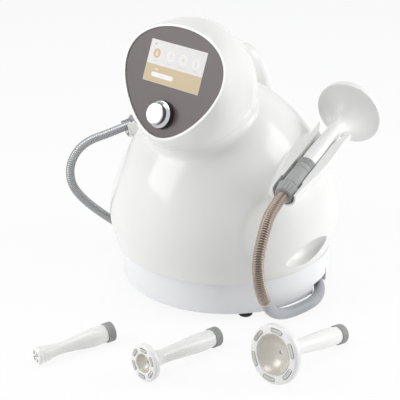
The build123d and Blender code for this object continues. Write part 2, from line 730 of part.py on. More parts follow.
def hose(side):
    """A hose with its bore, and fine ribs on the stretch that has them."""
    path = hose_path(side)
    r = HOSE_R[side]
    first, last = RIBBED[side]
    steady = Vector(0.7 if side == "right" else -0.7, 0.1, 0.7)

    def ring(along, radius):
        u = along / path.length
        return Wire.make_circle(radius, Plane(origin=path @ u, x_dir=steady, z_dir=path % u))

    count = int((last - first) / RIB_PITCH)
    end = first + count * RIB_PITCH
    tubing = sweep(Face(ring(0, r - RIB_H)), path.trim(0, first / path.length))
    ribs = [sweep(Face(ring(end, r)), path.trim(end / path.length, 1.0))]
    for i in range(count):
        start = first + i * RIB_PITCH
        ribs.append(Solid.make_loft([ring(start + x * RIB_PITCH, r - RIB_H + h) for x, h in RIB_FORM], ruled=True))
    tubing = tubing.fuse(*ribs)
    bore = sweep(Face(ring(0, HOSE_BORE)), path)
    tubing -= bore
    area = pi * (r ** 2 - HOSE_BORE ** 2)
    print(side, "hose", round(path.length), "mm long; volume over section times length",
          round(tubing.volume / area / path.length, 3))
    return tubing


# Rear service panel: cut-outs and what sits in them

def facing_back(shape, x, z):
    """A shape modelled with Z outwards, placed on the rear panel's outer face."""
    return Pos(x, REAR_Y, z) * Rot(-90, 0, 0) * shape


def rear_screws():
    """Screws through the rear panel's edge into its ledge."""
    screw = disc(1.5, -REAR_T - REAR_LEDGE_T + 0.5, 0) + disc(2.9, 0, 1.8)
    half = REAR_W / 2 - REAR_LEDGE / 2
    low, high = REAR_LOW + REAR_LEDGE / 2, REAR_HIGH - REAR_LEDGE / 2
    return [facing_back(screw, x, z) for x in (-half, half) for z in (low, high)]


def inlet_box(grow=0.0):
    """The body of the power inlet behind the panel."""
    w, h = 14.0 + grow, 10.0 + grow
    return block((-w, w), (-h, h), (-26, 0))


def rear_panel():
    """The metal panel with its cut-outs and a row of vents."""
    panel = rear_box(-TRIM, (REAR_Y - REAR_T, REAR_Y))
    panel -= facing_back(inlet_box(0.2), 0, INLET_Z)
    panel -= facing_back(block((-8.2, 8.2), (-5.2, 5.2), (-9, 9)), SWITCH_X, SERVICE_Z)
    panel -= facing_back(disc(FUSE_R - 2, -9, 9), -SWITCH_X, SERVICE_Z)
    panel -= facing_back(disc(FAN / 2 - 2, -9, 9), 0, FAN_Z)
    for i in range(6):
        panel -= facing_back(block((-1.5, 1.5), (-14, 14), (-9, 9)), 36 + 5 * i, INLET_Z + 5)
        panel -= facing_back(block((-1.5, 1.5), (-14, 14), (-9, 9)), -36 - 5 * i, INLET_Z + 5)
    for screw in rear_screws():
        panel -= screw
    return panel


def power_inlet():
    """A three-pin appliance inlet: flange, body with its socket, and pins."""
    body = block((-INLET_W / 2, INLET_W / 2), (-INLET_H / 2, INLET_H / 2), (0, 2.5)) + inlet_box()
    body -= block((-12, 12), (-8, 8), (-17, 9))
    body = facing_back(body, 0, INLET_Z)
    for pin in inlet_pins():
        body -= pin
    return body


def inlet_pins():
    """The three pins in the inlet, with their tabs behind."""
    pin = block((-1, 1), (-2, 2), (-34, -3))
    return [facing_back(Pos(x, y, 0) * pin, 0, INLET_Z) for x, y in ((-7, -2), (0, 2), (7, -2))]


def switch_case():
    """The bezel and case of the power switch, with a pin that the rocker turns on."""
    case = block((-SWITCH_W / 2, SWITCH_W / 2), (-SWITCH_H / 2, SWITCH_H / 2), (0, 1.6))
    case += block((-8, 8), (-5, 5), (-14, 0))
    case -= block((-7, 7), (-4, 4), (-12, 9))
    pin = Pos(0, 0, -3) * Rot(90, 0, 0) * Cylinder(1.2, 9)
    return facing_back(case + pin, SWITCH_X, SERVICE_Z)


def switch_rocker():
    """The rocker, turned so that its one end is in."""
    side = make_face(Polyline((-5.2, 2), (0, 1), (5.2, 2), (4.6, -5), (-4.6, -5), close=True))
    rocker = Rot(90, 0, 0) * extrude(side, 3.8, both=True)
    rocker -= Pos(0, 0, -3) * Rot(90, 0, 0) * Cylinder(1.2 + RUN, 9)
    rocker = Pos(0, 0, -3) * Rot(0, ROCKER_TILT, 0) * Pos(0, 0, 3) * rocker
    return facing_back(rocker, SWITCH_X, SERVICE_Z)


def fuse_holder():
    """The fuse carrier with its slotted cap."""
    body = disc(FUSE_R, 0, FUSE_CAP_H) + disc(FUSE_R - 2, -28, 0)
    body = chamfer(body.edges().group_by(Axis.Z)[-1], 1)
    body -= block((-6, 6), (-0.8, 0.8), (FUSE_CAP_H - 2, FUSE_CAP_H + 1))
    return facing_back(body, -SWITCH_X, SERVICE_Z)


def fan_grille():
    """Concentric wires on four legs, over the fan's opening."""
    grille = tube(4, 0.1, 0, 1.6)
    for r in (9, 14, 19):
        grille += tube(r + 0.8, r - 0.8, 0, 1.6)
    for angle in (0, 90):
        grille += Rot(0, 0, 45 + angle) * block((-21.5, 21.5), (-1, 1), (0, 1.6))
    return facing_back(grille, 0, FAN_Z)


def fan_frame():
    """The fan's square frame behind the panel, with its motor plate and shaft."""
    low, top = -REAR_T - FAN_T, -REAR_T
    frame = block((-FAN / 2, FAN / 2), (-FAN / 2, FAN / 2), (low, top)) - disc(FAN / 2 - 1.2, low - 1, top + 1)
    frame += disc(FAN_HUB_R, low, low + 2)
    for angle in (0, 90):
        frame += Rot(0, 0, angle) * block((-FAN / 2 + 0.6, FAN / 2 - 0.6), (-1.2, 1.2), (low, low + 1.6))
    frame += disc(1.5, low, top - 4)
    return facing_back(frame, 0, FAN_Z)


def fan_rotor():
    """Hub and pitched blades."""
    low, top = -REAR_T - FAN_T + 2.6, -REAR_T - 2.5
    hub = disc(FAN_HUB_R - 1, low, top)
    blade = Rot(35, 0, 0) * block((FAN_HUB_R - 2, FAN / 2 - 2.4), (-0.6, 0.6), (-6, 6))
    middle = (low + top) / 2
    inside = disc(FAN / 2 - 2.2, low, top)
    for piece in around(blade, FAN_BLADES, 0):
        hub += Pos(0, 0, middle) * piece & inside
    hub -= disc(1.5 + RUN, low - 1, top - 1.2)
    return facing_back(hub, 0, FAN_Z)


# Inside: what makes the suction and the drive

def pump_place():
    """The pump's shaft axis, along X, above the plate."""
    return Pos(*PUMP_AT) * Rot(0, 90, 0)


def pump_motor():
    """The motor can with its end bells, bored for the shaft."""
    can = disc(PUMP_R, -PUMP_L / 2, PUMP_L / 2)
    can = chamfer(can.edges().filter_by(GeomType.CIRCLE), 3)
    can -= disc(PUMP_SHAFT_R + RUN, -PUMP_L, PUMP_L)
    return pump_place() * can


def pump_head():
    """The diaphragm head at the motor's end: a housing with the crank chamber and two nipples."""
    low = PUMP_L / 2
    head_box = block((-PUMP_R - 8, PUMP_R), (-24, 24), (low, low + 26))
    head_box -= disc(15, low + 3, low + 23)
    head_box -= disc(PUMP_SHAFT_R + 0.6, low - 1, low + 4)
    for y in (-13, 13):
        head_box += Pos(-PUMP_R - 8, y, low + 13) * Rot(0, -90, 0) * tube(NIPPLE_R, NIPPLE_BORE, -2, 12)
    return pump_place() * head_box


def pump_crank():
    """The shaft with its eccentric."""
    low = PUMP_L / 2
    crank = disc(PUMP_SHAFT_R, -PUMP_L / 2 - 6, low + 20)
    crank += Pos(3, 0, 0) * disc(10, low + 5, low + 18)
    return pump_place() * crank


def pump_mounts():
    """Rubber blocks under the motor, hollowed to its can."""
    mounts = []
    for x in (-PUMP_L / 2 + 14, PUMP_L / 2 - 14):
        mount = Pos(PUMP_AT[0] + x, PUMP_AT[1], 0) * block((-7, 7), (-18, 18), (PLATE_Z, PUMP_AT[2] - PUMP_R / 2))
        mounts.append(mount - pump_place() * disc(PUMP_R, -PUMP_L, PUMP_L))
    return mounts


def filter_jar():
    """The clear moisture trap."""
    jar = tube(FILTER_R, FILTER_R - 2, PLATE_Z, PLATE_Z + FILTER_H) + disc(FILTER_R, PLATE_Z, PLATE_Z + 3)
    return Pos(*FILTER_AT) * jar


def filter_lid():
    """Its lid with two nipples and a down pipe."""
    low = PLATE_Z + FILTER_H
    lid = disc(FILTER_R + 2, low, low + 8) + disc(NIPPLE_R, low - 30, low + 18)
    lid += Pos(14, 0, 0) * disc(NIPPLE_R, low, low + 18)
    lid -= disc(NIPPLE_BORE, low - 31, low + 19) + Pos(14, 0, 0) * disc(NIPPLE_BORE, low - 1, low + 19)
    return Pos(*FILTER_AT) * lid


def valve_block():
    """A manifold with two solenoid valves and three nipples on its top."""
    top = PLATE_Z + 16
    valve = block((-38, 38), (-12, 12), (PLATE_Z, top))
    for dx in (-19, 19):
        valve += Pos(dx, 0, 0) * (disc(7, top, top + 24) + disc(10, top + 5, top + 20))
    for dx in (-33.5, 0, 33.5):
        valve += Pos(dx, 0, 0) * disc(NIPPLE_R, top, top + 10)
        valve -= Pos(dx, 0, 0) * disc(NIPPLE_BORE, top - 8, top + 11)
    return Pos(*VALVE_AT) * valve


def power_supply():
    """The mains supply in its perforated cage."""
    x, y = SUPPLY_AT
    cage = block((-50, 50), (-26, 26), (PLATE_Z, PLATE_Z + 36)) - block((-48.8, 48.8), (-24.8, 24.8), (PLATE_Z + 1, 999))
    lid = block((-50, 50), (-26, 26), (PLATE_Z + 35, PLATE_Z + 36))
    for i in range(9):
        for j in range(4):
            lid -= Pos(-40 + 10 * i, -15 + 10 * j, 0) * disc(3, 0, 999)
    return Pos(x, y, 0) * (cage + lid)


def transformer():
    """A ring-shaped transformer on its bolt."""
    x, y = TRANSFORMER_AT
    ring = tube(32, 12, PLATE_Z + 1, PLATE_Z + 31)
    ring = fillet(ring.edges().filter_by(GeomType.CIRCLE), 7)
    plates = tube(30, 3, PLATE_Z, PLATE_Z + 1.5) + tube(20, 3, PLATE_Z + 30.5, PLATE_Z + 32)
    bolt = disc(3, PLATE_Z, PLATE_Z + 36) + disc(6, PLATE_Z + 32, PLATE_Z + 35)
    return Pos(x, y, 0) * (ring + plates + bolt)


def board(w, d, parts):
    """A circuit board on its underside's plane, with blocks for its parts (x, y, width, depth, height)."""
    solid = block((-w / 2, w / 2), (-d / 2, d / 2), (0, BOARD_T))
    for x, y, pw, pd, ph in parts:
        solid += block((x, x + pw), (y, y + pd), (BOARD_T - 0.1, BOARD_T + ph))
    return solid


MAIN_PARTS = [(-38, -24, 16, 16, 2), (-12, -20, 20, 20, 2.4), (18, -24, 12, 8, 9), (34, -24, 8, 20, 11),
              (-40, 12, 10, 14, 12), (-24, 14, 8, 8, 12), (-10, 10, 14, 10, 3), (12, 8, 22, 12, 10)]
RF_PARTS = [(-26, -16, 14, 14, 14), (-6, -18, 18, 12, 3), (15, -16, 10, 10, 12), (-24, 6, 10, 8, 3),
            (-6, 4, 24, 12, 16)]
MAIN_SIZE = (90.0, 60.0)
RF_SIZE = (54.0, 40.0)


def boards():
    """The main board and the radio-frequency board on their stand-offs."""
    main = Pos(*MAIN_AT, PLATE_Z + STANDOFF) * board(*MAIN_SIZE, MAIN_PARTS)
    drive = Pos(*RF_AT, PLATE_Z + STANDOFF) * board(*RF_SIZE, RF_PARTS)
    return main, drive


def standoffs():
    """Eight stand-offs under the two boards."""
    posts = []
    for (x, y), (w, d) in ((MAIN_AT, MAIN_SIZE), (RF_AT, RF_SIZE)):
        for dx in (-w / 2 + 5, w / 2 - 5):
            for dy in (-d / 2 + 5, d / 2 - 5):
                posts.append(Pos(x + dx, y + dy, 0) * disc(3, PLATE_Z, PLATE_Z + STANDOFF))
    return posts


def piped(points, r, bend):
    """A bent tube or lead of round section through corner points."""
    path = FilletPolyline(*points, radius=bend)
    return sweep(Face(Wire.make_circle(r, Plane(origin=path @ 0, z_dir=path % 0))), path)


def suction_tubes():
    """The clear tubes between pump, filter, valves and the two ports."""
    pump_x, pump_y = PUMP_AT[0] + PUMP_L / 2 + 13, PUMP_AT[1] - 13
    pump_top = PUMP_AT[2] + PUMP_R + 8 + 12
    filter_x, filter_y = FILTER_AT
    filter_top = PLATE_Z + FILTER_H + 18
    valve_x, valve_y = VALVE_AT
    valve_top = PLATE_Z + 26
    port = BAY_X[0] - PORT_L
    runs = [
        [(pump_x, pump_y, pump_top), (pump_x, pump_y, 140), (filter_x + 14, pump_y, 140),
         (filter_x + 14, filter_y, 140), (filter_x + 14, filter_y, filter_top)],
        [(valve_x, valve_y, valve_top), (valve_x, valve_y, 152), (filter_x, valve_y, 152), (filter_x, filter_y, 152),
         (filter_x, filter_y, filter_top)],
        [(-port, PORT_Y, PORT_Z), (-TUBE_X, PORT_Y, PORT_Z), (-TUBE_X, PORT_Y, 86), (valve_x + 33.5, valve_y, 86),
         (valve_x + 33.5, valve_y, valve_top)],
        [(port, PORT_Y, PORT_Z), (TUBE_X, PORT_Y, PORT_Z), (TUBE_X, PORT_Y, 128), (valve_x - 33.5, PORT_Y, 128),
         (valve_x - 33.5, valve_y, 128), (valve_x - 33.5, valve_y, valve_top)],
    ]
    return [piped(run, NIPPLE_R, 10) - piped(run, NIPPLE_BORE, 10) for run in runs]


def wiring():
    """Leads: mains to the supply, supply to transformer and board, board to board and to the display."""
    supply_top = PLATE_Z + 36
    board_top = PLATE_Z + STANDOFF + BOARD_T
    x, y = MAIN_AT
    module = [(HEAD.location * Pos(10, -20, -PANEL_SINK - PANEL_T - MODULE_T - 5 - BOARD_T - back)).position
              for back in (34, 0)]
    runs = [
        [(0, REAR_Y - 34, INLET_Z + 2), (0, REAR_Y - 44, INLET_Z + 2), (0, REAR_Y - 44, 118), (-60, 20, 118),
         (-60, -15, 118), (-60, -15, supply_top)],
        [(-20, -20, supply_top), (-20, -20, 84), (52, -15, 84), (52, -15, PLATE_Z + 31)],
        [(-20, -50, supply_top), (-20, -50, 78), (-20, y + 18, 78), (-20, y + 18, board_top + 12)],
        [(x + 38, y - 14, board_top + 11), (x + 38, y - 14, 78), (64, -50, 78), (73, 3, 78), (73, 3, board_top + 14)],
        [(x + 24, y - 20, board_top + 9), (x + 24, y - 20, 240), (x + 24, y - 6, 310), module[0], module[1]],
    ]
    return [piped(run, LEAD_R, 7) for run in runs]


def main():
    """Builds every node and writes it to its file."""
    os.makedirs("parts", exist_ok=True)
    keep("body_shell", body_shell())
    keep("base_tray", base_tray())
    keep("rubber_feet", *rubber_feet())
    keep("screws", *foot_screws(), *plate_screws(), *body_screws(), *rear_screws())
    keep("chassis_plate", chassis_plate())
    keep("hose_ports", hose_port("right"), hose_port("left"))
    keep("face_panel", face_panel())
    keep("display_screen", display_screen())
    keep("display_module", display_module())
    keep("knob_collar", knob_collar())
    keep("knob_cap", knob_cap())
    keep("encoder_rotor", encoder_rotor())
    keep("encoder_body", encoder_body())
    keep("rear_panel", rear_panel())
    keep("power_inlet", power_inlet())
    keep("inlet_pins", *inlet_pins())
    keep("switch_case", switch_case())
    keep("switch_rocker", switch_rocker())
    keep("fuse_holder", fuse_holder())
    keep("fan_grille", fan_grille())
    keep("fan_frame", fan_frame())
    keep("fan_rotor", fan_rotor())
    keep("pump_motor", pump_motor())
    keep("pump_head", pump_head())
    keep("pump_crank", pump_crank())
    keep("pump_mounts", *pump_mounts())
    keep("filter_jar", filter_jar())
    keep("filter_lid", filter_lid())
    keep("valve_block", valve_block())
    keep("power_supply", power_supply())
    keep("transformer", transformer())
    keep("circuit_boards", *boards())
    keep("board_standoffs", *standoffs())
    keep("suction_tubes", *suction_tubes())
    keep("wiring", *wiring())
    file_applicator("docked_right", DOCKED, DOCK)
    file_applicator("docked_left", DOCKED, DOCK * Pos(0, 0, LEFT_DEEPER), flip=True)
    for size, (kind, spot, heading) in LOOSE.items():
        file_applicator(size, kind, loose_place(kind, spot, heading))
    keep("coupling_right", DOCK * coupling())
    keep("coupling_left", mirrored(DOCK * Pos(0, 0, LEFT_DEEPER) * coupling()))
    keep("coupling_nut_right", DOCK * coupling_nut())
    keep("coupling_nut_left", mirrored(DOCK * Pos(0, 0, LEFT_DEEPER) * coupling_nut()))
    keep("hose_right", hose("right"))
    keep("hose_left", hose("left"))
    for name, shape in NODES.items():
        export_step(shape, f"parts/{name}.step")
        print(name, len(shape.solids()), "solids", round(shape.volume), "mm3", shape.is_valid)


if __name__ == "__main__":
    main()
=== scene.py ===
# %% [markdown]
# # A vacuum slimming machine, dressed for the camera
#
# The machine is a white ball on a round base, with a turned head that carries a screen and a knob.
# Two suction applicators lie in cradles on its sides, each on its hose, and three more lie in front.
# The CAD model gives every place and size. This file gives each piece its surface: it builds smooth
# meshes where the eye looks closely, and materials that behave like the real plastics and metals.

# %% Load the machine
import math

import bmesh
import bpy
import numpy as np
from mathutils import Matrix


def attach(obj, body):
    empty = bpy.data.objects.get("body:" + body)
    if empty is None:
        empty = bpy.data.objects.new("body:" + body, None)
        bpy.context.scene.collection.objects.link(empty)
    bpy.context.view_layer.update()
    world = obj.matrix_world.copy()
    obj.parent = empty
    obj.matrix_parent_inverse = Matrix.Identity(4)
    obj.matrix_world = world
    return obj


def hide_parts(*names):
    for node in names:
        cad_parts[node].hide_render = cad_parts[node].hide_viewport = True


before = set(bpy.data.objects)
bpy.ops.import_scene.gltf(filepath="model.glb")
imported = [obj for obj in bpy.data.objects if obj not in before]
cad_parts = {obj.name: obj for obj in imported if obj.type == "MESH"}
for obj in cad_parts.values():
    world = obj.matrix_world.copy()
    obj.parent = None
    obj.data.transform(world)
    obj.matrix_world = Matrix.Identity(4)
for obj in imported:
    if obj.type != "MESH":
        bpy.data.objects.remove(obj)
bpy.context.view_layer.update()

# %% [markdown]
# ## Places
#
# All sizes below are millimetres, because that is how such a machine is drawn. A piece is worked out
# round its own axis and then carried to its place by a 4 x 4 matrix, while its object stays at the origin.
# The head looks up and a little to one side, so it has a place of its own, and so has each applicator.

# %% Places of the head and of the applicators
MM = 0.001


def place(origin, along, up=(0.0, 0.0, 1.0)):
    """A matrix whose Z runs along a direction, with Y as near upwards as it can be."""
    z = np.array(along, float) / np.linalg.norm(along)
    y = np.array(up, float) - z * np.dot(up, z)
    y = y / np.linalg.norm(y)
    matrix = np.eye(4)
    matrix[:3, 0], matrix[:3, 1], matrix[:3, 2], matrix[:3, 3] = np.cross(y, z), y, z, origin
    return matrix


def shifted(matrix, x=0.0, y=0.0, z=0.0):
    """The same place, moved along its own axes."""
    moved = np.eye(4)
    moved[:3, 3] = x, y, z
    return matrix @ moved


FACE = np.eye(4)
FACE[:3, 0] = 0.993768, 0.111469, 0.0
FACE[:3, 1] = -0.041125, 0.366637, 0.929455
FACE[:3, 2] = 0.103605, -0.923662, 0.368936
FACE[:3, 3] = 13.343, -118.954, 378.7
GLASS_TOP = -2.0        # front of panel and glass, behind the lip of the head
KNOB_DROP = 73.0
KNOB = shifted(FACE, y=-KNOB_DROP, z=GLASS_TOP)

DOCK_TILT, DOCK_TURN = math.radians(14.8), math.radians(17.6)
DOCK_X, DOCK_Y, DOCK_Z = 165.1, 2.5, 229.6
LEFT_DEEPER = 14.0      # the left one lies so much deeper in its cradle
level = math.cos(DOCK_TILT)
along_right = (-math.sin(DOCK_TURN) * level, math.cos(DOCK_TURN) * level, math.sin(DOCK_TILT))
along_left = (-along_right[0], along_right[1], along_right[2])
DOCKED_RIGHT = place((DOCK_X, DOCK_Y, DOCK_Z), along_right)
DOCKED_LEFT = shifted(place((-DOCK_X, DOCK_Y, DOCK_Z), along_left), z=LEFT_DEEPER)

END_RING_R, END_RING_L = 14.7, 12.0


def lying(kind, spot, heading):
    """Place of an applicator that rests on its end ring and on the rim of its cup."""
    lift = kind["face"] - END_RING_R
    reach = kind["length"] - 0.55 * kind["rim"]
    tilt = math.asin(lift / reach)
    heading = math.radians(heading)
    flat = math.cos(tilt)
    height = END_RING_R * flat - (END_RING_L * math.sin(tilt) if lift < 0 else 0.0)
    way = (math.cos(heading) * flat, math.sin(heading) * flat, math.sin(tilt))
    return place((spot[0], spot[1], height), way)


# %% [markdown]
# ## The camera
#
# The photograph is taken from the front right, a little above the head, with a long lens. The same view
# comes from the corners of the screen, whose real size is known. The camera looks along `back`, reversed.

# %% Camera
right = np.array((0.6613, 0.7501, 0.0))
above = np.array((-0.3082, 0.2717, 0.9117))
back = np.array((0.6838, -0.6029, 0.4109))
FOCAL_PX, WIDTH_PX, DISTANCE = 1247.87, 400.0, 2000.0
target = right * -42.27 + np.array((0.0, 0.0, 125.02))
eye = target + DISTANCE * back
view = Matrix.Identity(4)
for row in range(3):
    view[row][0], view[row][1], view[row][2], view[row][3] = right[row], above[row], back[row], eye[row] * MM
camera = bpy.data.objects.new("camera", bpy.data.cameras.new("camera"))
camera.data.sensor_width = 36.0
camera.data.lens = FOCAL_PX * camera.data.sensor_width / WIDTH_PX
camera.data.clip_end = 60.0
camera.matrix_world = view
bpy.context.scene.collection.objects.link(camera)
bpy.context.scene.camera = camera
print("lens", round(camera.data.lens, 1), "mm")

# %% [markdown]
# ## Tools for meshes
#
# A surface is a grid of points, worked out as whole arrays. Neighbouring rows and columns make the faces.
# A turned piece is a profile of radius and height, carried round its axis. Small rounds at its corners
# matter more than fine faces: they catch the light as a moulded edge does.

# %% Grid and lathe
def mesh_piece(name, points, faces, finish, body, sharp=40.0):
    """A mesh object from points in mm and faces, welded, facing outwards, riding on a body."""
    mesh = bpy.data.meshes.new(name)
    mesh.from_pydata((np.asarray(points) * MM).tolist(), [], faces)
    work = bmesh.new()
    work.from_mesh(mesh)
    bmesh.ops.remove_doubles(work, verts=work.verts, dist=2e-6)
    bmesh.ops.recalc_face_normals(work, faces=work.faces)
    work.to_mesh(mesh)
    work.free()
    mesh.polygons.foreach_set("use_smooth", np.ones(len(mesh.polygons), bool))
    mesh.set_sharp_from_angle(angle=math.radians(sharp))
    mesh.materials.append(finish)
    piece = bpy.data.objects.new(name, mesh)
    bpy.context.scene.collection.objects.link(piece)
    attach(piece, body)
    return piece


def stands_for(piece, name):
    """The piece is shown instead of a CAD node, which is hidden."""
    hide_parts(name)


def grid_faces(rows, columns, round_rows=False, round_columns=False, first=0):
    """Quads of a grid of rows x columns points, closed on itself where asked."""
    a = np.arange(rows if round_rows else rows - 1)
    b = np.arange(columns if round_columns else columns - 1)
    a, b = (g.ravel() for g in np.meshgrid(a, b, indexing="ij"))
    c, d = (a + 1) % rows, (b + 1) % columns
    corners = [a * columns + b, a * columns + d, c * columns + d, c * columns + b]
    return (np.stack(corners, 1) + first).tolist()


def moved(points, matrix):
    """Points carried by a matrix."""
    return points.reshape(-1, 3) @ matrix[:3, :3].T + matrix[:3, 3]


def turned(profile, matrix, count=96, swell=None):
    """Points of a profile (radius, height) carried round Z: x and y are the radius times cosine and sine
    of the angle. swell gives a change of radius at an angle and a row."""
    angle = np.linspace(0.0, 2.0 * np.pi, count, endpoint=False)
    radius = np.repeat(profile[:, :1], count, axis=1)
    if swell is not None:
        radius = radius + swell(angle[None, :], np.arange(len(profile))[:, None])
    height = np.repeat(profile[:, 1:], count, axis=1)
    return moved(np.stack([radius * np.cos(angle), radius * np.sin(angle), height], 2), matrix)


def lathe(name, profile, matrix, finish, body, count=96, closed=False, swell=None, sharp=40.0):
    """A turned piece; closed joins the profile's last point to its first."""
    points = turned(profile, matrix, count, swell)
    return mesh_piece(name, points, grid_faces(len(profile), count, closed, True), finish, body, sharp)


def eased(corners, radius, steps=5):
    """A polygon line whose inner corners are rounded: each corner gives a small quadratic arc between
    two points at a distance of radius from it, or of 0.45 times the shorter run."""
    p = np.array(corners, float)
    before, after = p[:-2] - p[1:-1], p[2:] - p[1:-1]
    la, lb = np.linalg.norm(before, axis=1), np.linalg.norm(after, axis=1)
    cut = np.minimum(np.asarray(radius, float), 0.45 * np.minimum(la, lb))[:, None]
    start, end = p[1:-1] + before / la[:, None] * cut, p[1:-1] + after / lb[:, None] * cut
    t = np.linspace(0.0, 1.0, steps)[None, :, None]
    arcs = (1 - t) ** 2 * start[:, None] + 2 * t * (1 - t) * p[1:-1][:, None] + t ** 2 * end[:, None]
    return np.vstack([p[:1], arcs.reshape(-1, 2), p[-1:]])


def swept_line(points, directions, steps=16):
    """A smooth line through points with a direction at each: cubic Hermite spans, as long as their chords."""
    p, d = np.array(points, float), np.array(directions, float)
    d = d / np.linalg.norm(d, axis=1)[:, None]
    chord = np.linalg.norm(p[1:] - p[:-1], axis=1)[:, None, None]
    t = np.linspace(0.0, 1.0, steps)[None, :, None]
    stay, go = 2 * t ** 3 - 3 * t ** 2 + 1, 3 * t ** 2 - 2 * t ** 3
    leave, arrive = (t ** 3 - 2 * t ** 2 + t) * chord, (t ** 3 - t ** 2) * chord
    spans = stay * p[:-1][:, None] + leave * d[:-1][:, None] + go * p[1:][:, None] + arrive * d[1:][:, None]
    return spans.reshape(-1, 2)


# %% [markdown]
# ## Tools for materials
#
# Colours are written as they look on a screen and turned to linear light by one function. One more
# function adds a node, with its settings and what its sockets hold or are linked to.

# %% Colour and node
def linear(text, alpha=1.0):
    """A colour written as six hex digits, in linear light."""
    value = np.array([int(text[i:i + 2], 16) for i in (0, 2, 4)]) / 255.0
    value = np.where(value <= 0.04045, value / 12.92, ((value + 0.055) / 1.055) ** 2.4)
    return (*value.tolist(), alpha)


def node(tree, kind, sockets=None, **settings):
    """Adds one node: settings are its own values, sockets maps an input to a value or to an output."""
    made = tree.nodes.new(kind)
    for name, value in settings.items():
        setattr(made, name, value)
    for name, value in (sockets or {}).items():
        if isinstance(value, bpy.types.NodeSocket):
            tree.links.new(value, made.inputs[name])
        else:
            made.inputs[name].default_value = value
    return made


def new_finish(name, sockets):
    """A material with one Principled shader: gives the material, tree, shader and Object coordinates."""
    finish = bpy.data.materials.new(name)
    finish.use_nodes = True
    tree = finish.node_tree
    tree.nodes.clear()
    shader = node(tree, "ShaderNodeBsdfPrincipled", sockets)
    node(tree, "ShaderNodeOutputMaterial", {"Surface": shader.outputs[0]})
    coordinates = node(tree, "ShaderNodeTexCoord").outputs["Object"]
    return finish, tree, shader, coordinates


def moulded(name, colour, shade, roughness, grain, depth, coat=0.0):
    """A moulded plastic: a faint drift of colour over centimetres, and the tool's texture as bump and
    roughness. grain is the spacing of the texture in mm, and depth is how strongly it shows."""
    finish, tree, shader, at = new_finish(name, {"IOR": 1.5, "Coat Weight": coat, "Coat Roughness": 0.04})
    drift = node(tree, "ShaderNodeTexNoise", {"Vector": at, "Scale": 9.0, "Detail": 2.0})
    tones = {0: drift.outputs["Fac"], 6: linear(colour), 7: linear(shade)}
    mixed = node(tree, "ShaderNodeMix", tones, data_type="RGBA")
    tree.links.new(mixed.outputs[2], shader.inputs["Base Color"])
    texture = node(tree, "ShaderNodeTexNoise", {"Vector": at, "Scale": 1000.0 / grain, "Detail": 3.0})
    rough = node(tree, "ShaderNodeMapRange", {"Value": texture.outputs["Fac"], "To Min": roughness * 0.8,
                                              "To Max": roughness * 1.2})
    tree.links.new(rough.outputs["Result"], shader.inputs["Roughness"])
    bump = node(tree, "ShaderNodeBump", {"Height": texture.outputs["Fac"], "Strength": depth,
                                         "Distance": 0.0003})
    tree.links.new(bump.outputs["Normal"], shader.inputs["Normal"])
    return finish


print("tools ready")


# %% [markdown]
# ## Light
#
# The photograph shows a white object on white. Two large soft boxes at the sides leave the front of the
# ball a little darker than its flanks, and a third one from above fills the head. Two low lamps lift the
# base and the loose applicators as light from a white table does, so no gloss shows them. The background is
# white because the world and the floor send white straight to the lens, not because more light falls there.

# %% World, lamps and floor
def straight_rays(tree):
    """1 for a ray from the lens itself, off a gloss or through glass, and 0 for one that only lights."""
    seen = node(tree, "ShaderNodeLightPath").outputs
    either = seen["Is Camera Ray"]
    for kind in ("Is Glossy Ray", "Is Transmission Ray"):
        either = node(tree, "ShaderNodeMath", {0: either, 1: seen[kind]}, operation="MAXIMUM").outputs[0]
    return either


world = bpy.data.worlds.new("studio")
bpy.context.scene.world = world
world.use_nodes = True
tree = world.node_tree
tree.nodes.clear()
fill = node(tree, "ShaderNodeBackground", {"Color": linear("F4F6F8"), "Strength": 0.4})
backdrop = node(tree, "ShaderNodeBackground", {"Color": (1.0, 1.0, 1.0, 1.0), "Strength": 1.0})
both = node(tree, "ShaderNodeMixShader", {0: straight_rays(tree), 1: fill.outputs[0], 2: backdrop.outputs[0]})
node(tree, "ShaderNodeOutputWorld", {"Surface": both.outputs[0]})
bpy.context.scene.view_settings.view_transform = "Standard"


def soft_box(name, spot, aim, width, height, power, shines=True):
    """A rectangular lamp in metres that points from a spot to an aim; without shines, no gloss shows it."""
    lamp = bpy.data.lights.new(name, "AREA")
    lamp.shape, lamp.size, lamp.size_y, lamp.energy = "RECTANGLE", width, height, power
    lit = bpy.data.objects.new(name, lamp)
    away = np.array(spot, float) - np.array(aim, float)
    stand = place(spot, away)
    lit.matrix_world = Matrix(stand.tolist())
    lit.visible_glossy = shines
    bpy.context.scene.collection.objects.link(lit)


middle = np.array((0.0, 0.0, 0.2))
soft_box("left_box", middle - 1.7 * right + 0.5 * back + (0, 0, 0.9), middle, 1.2, 1.5, 16.0)
soft_box("right_box", middle + 1.8 * right + 0.1 * back + (0, 0, 0.8), middle, 1.0, 1.4, 12.0)
soft_box("top_box", middle + (0.0, 0.1, 2.1), middle, 1.4, 1.4, 14.0)
soft_box("left_low", middle - 1.5 * right + 0.5 * back + (0, 0, -0.2), middle, 0.9, 0.5, 5.0, False)
soft_box("right_low", middle + 1.6 * right + 0.3 * back + (0, 0, -0.1), middle, 0.9, 0.6, 10.0, False)

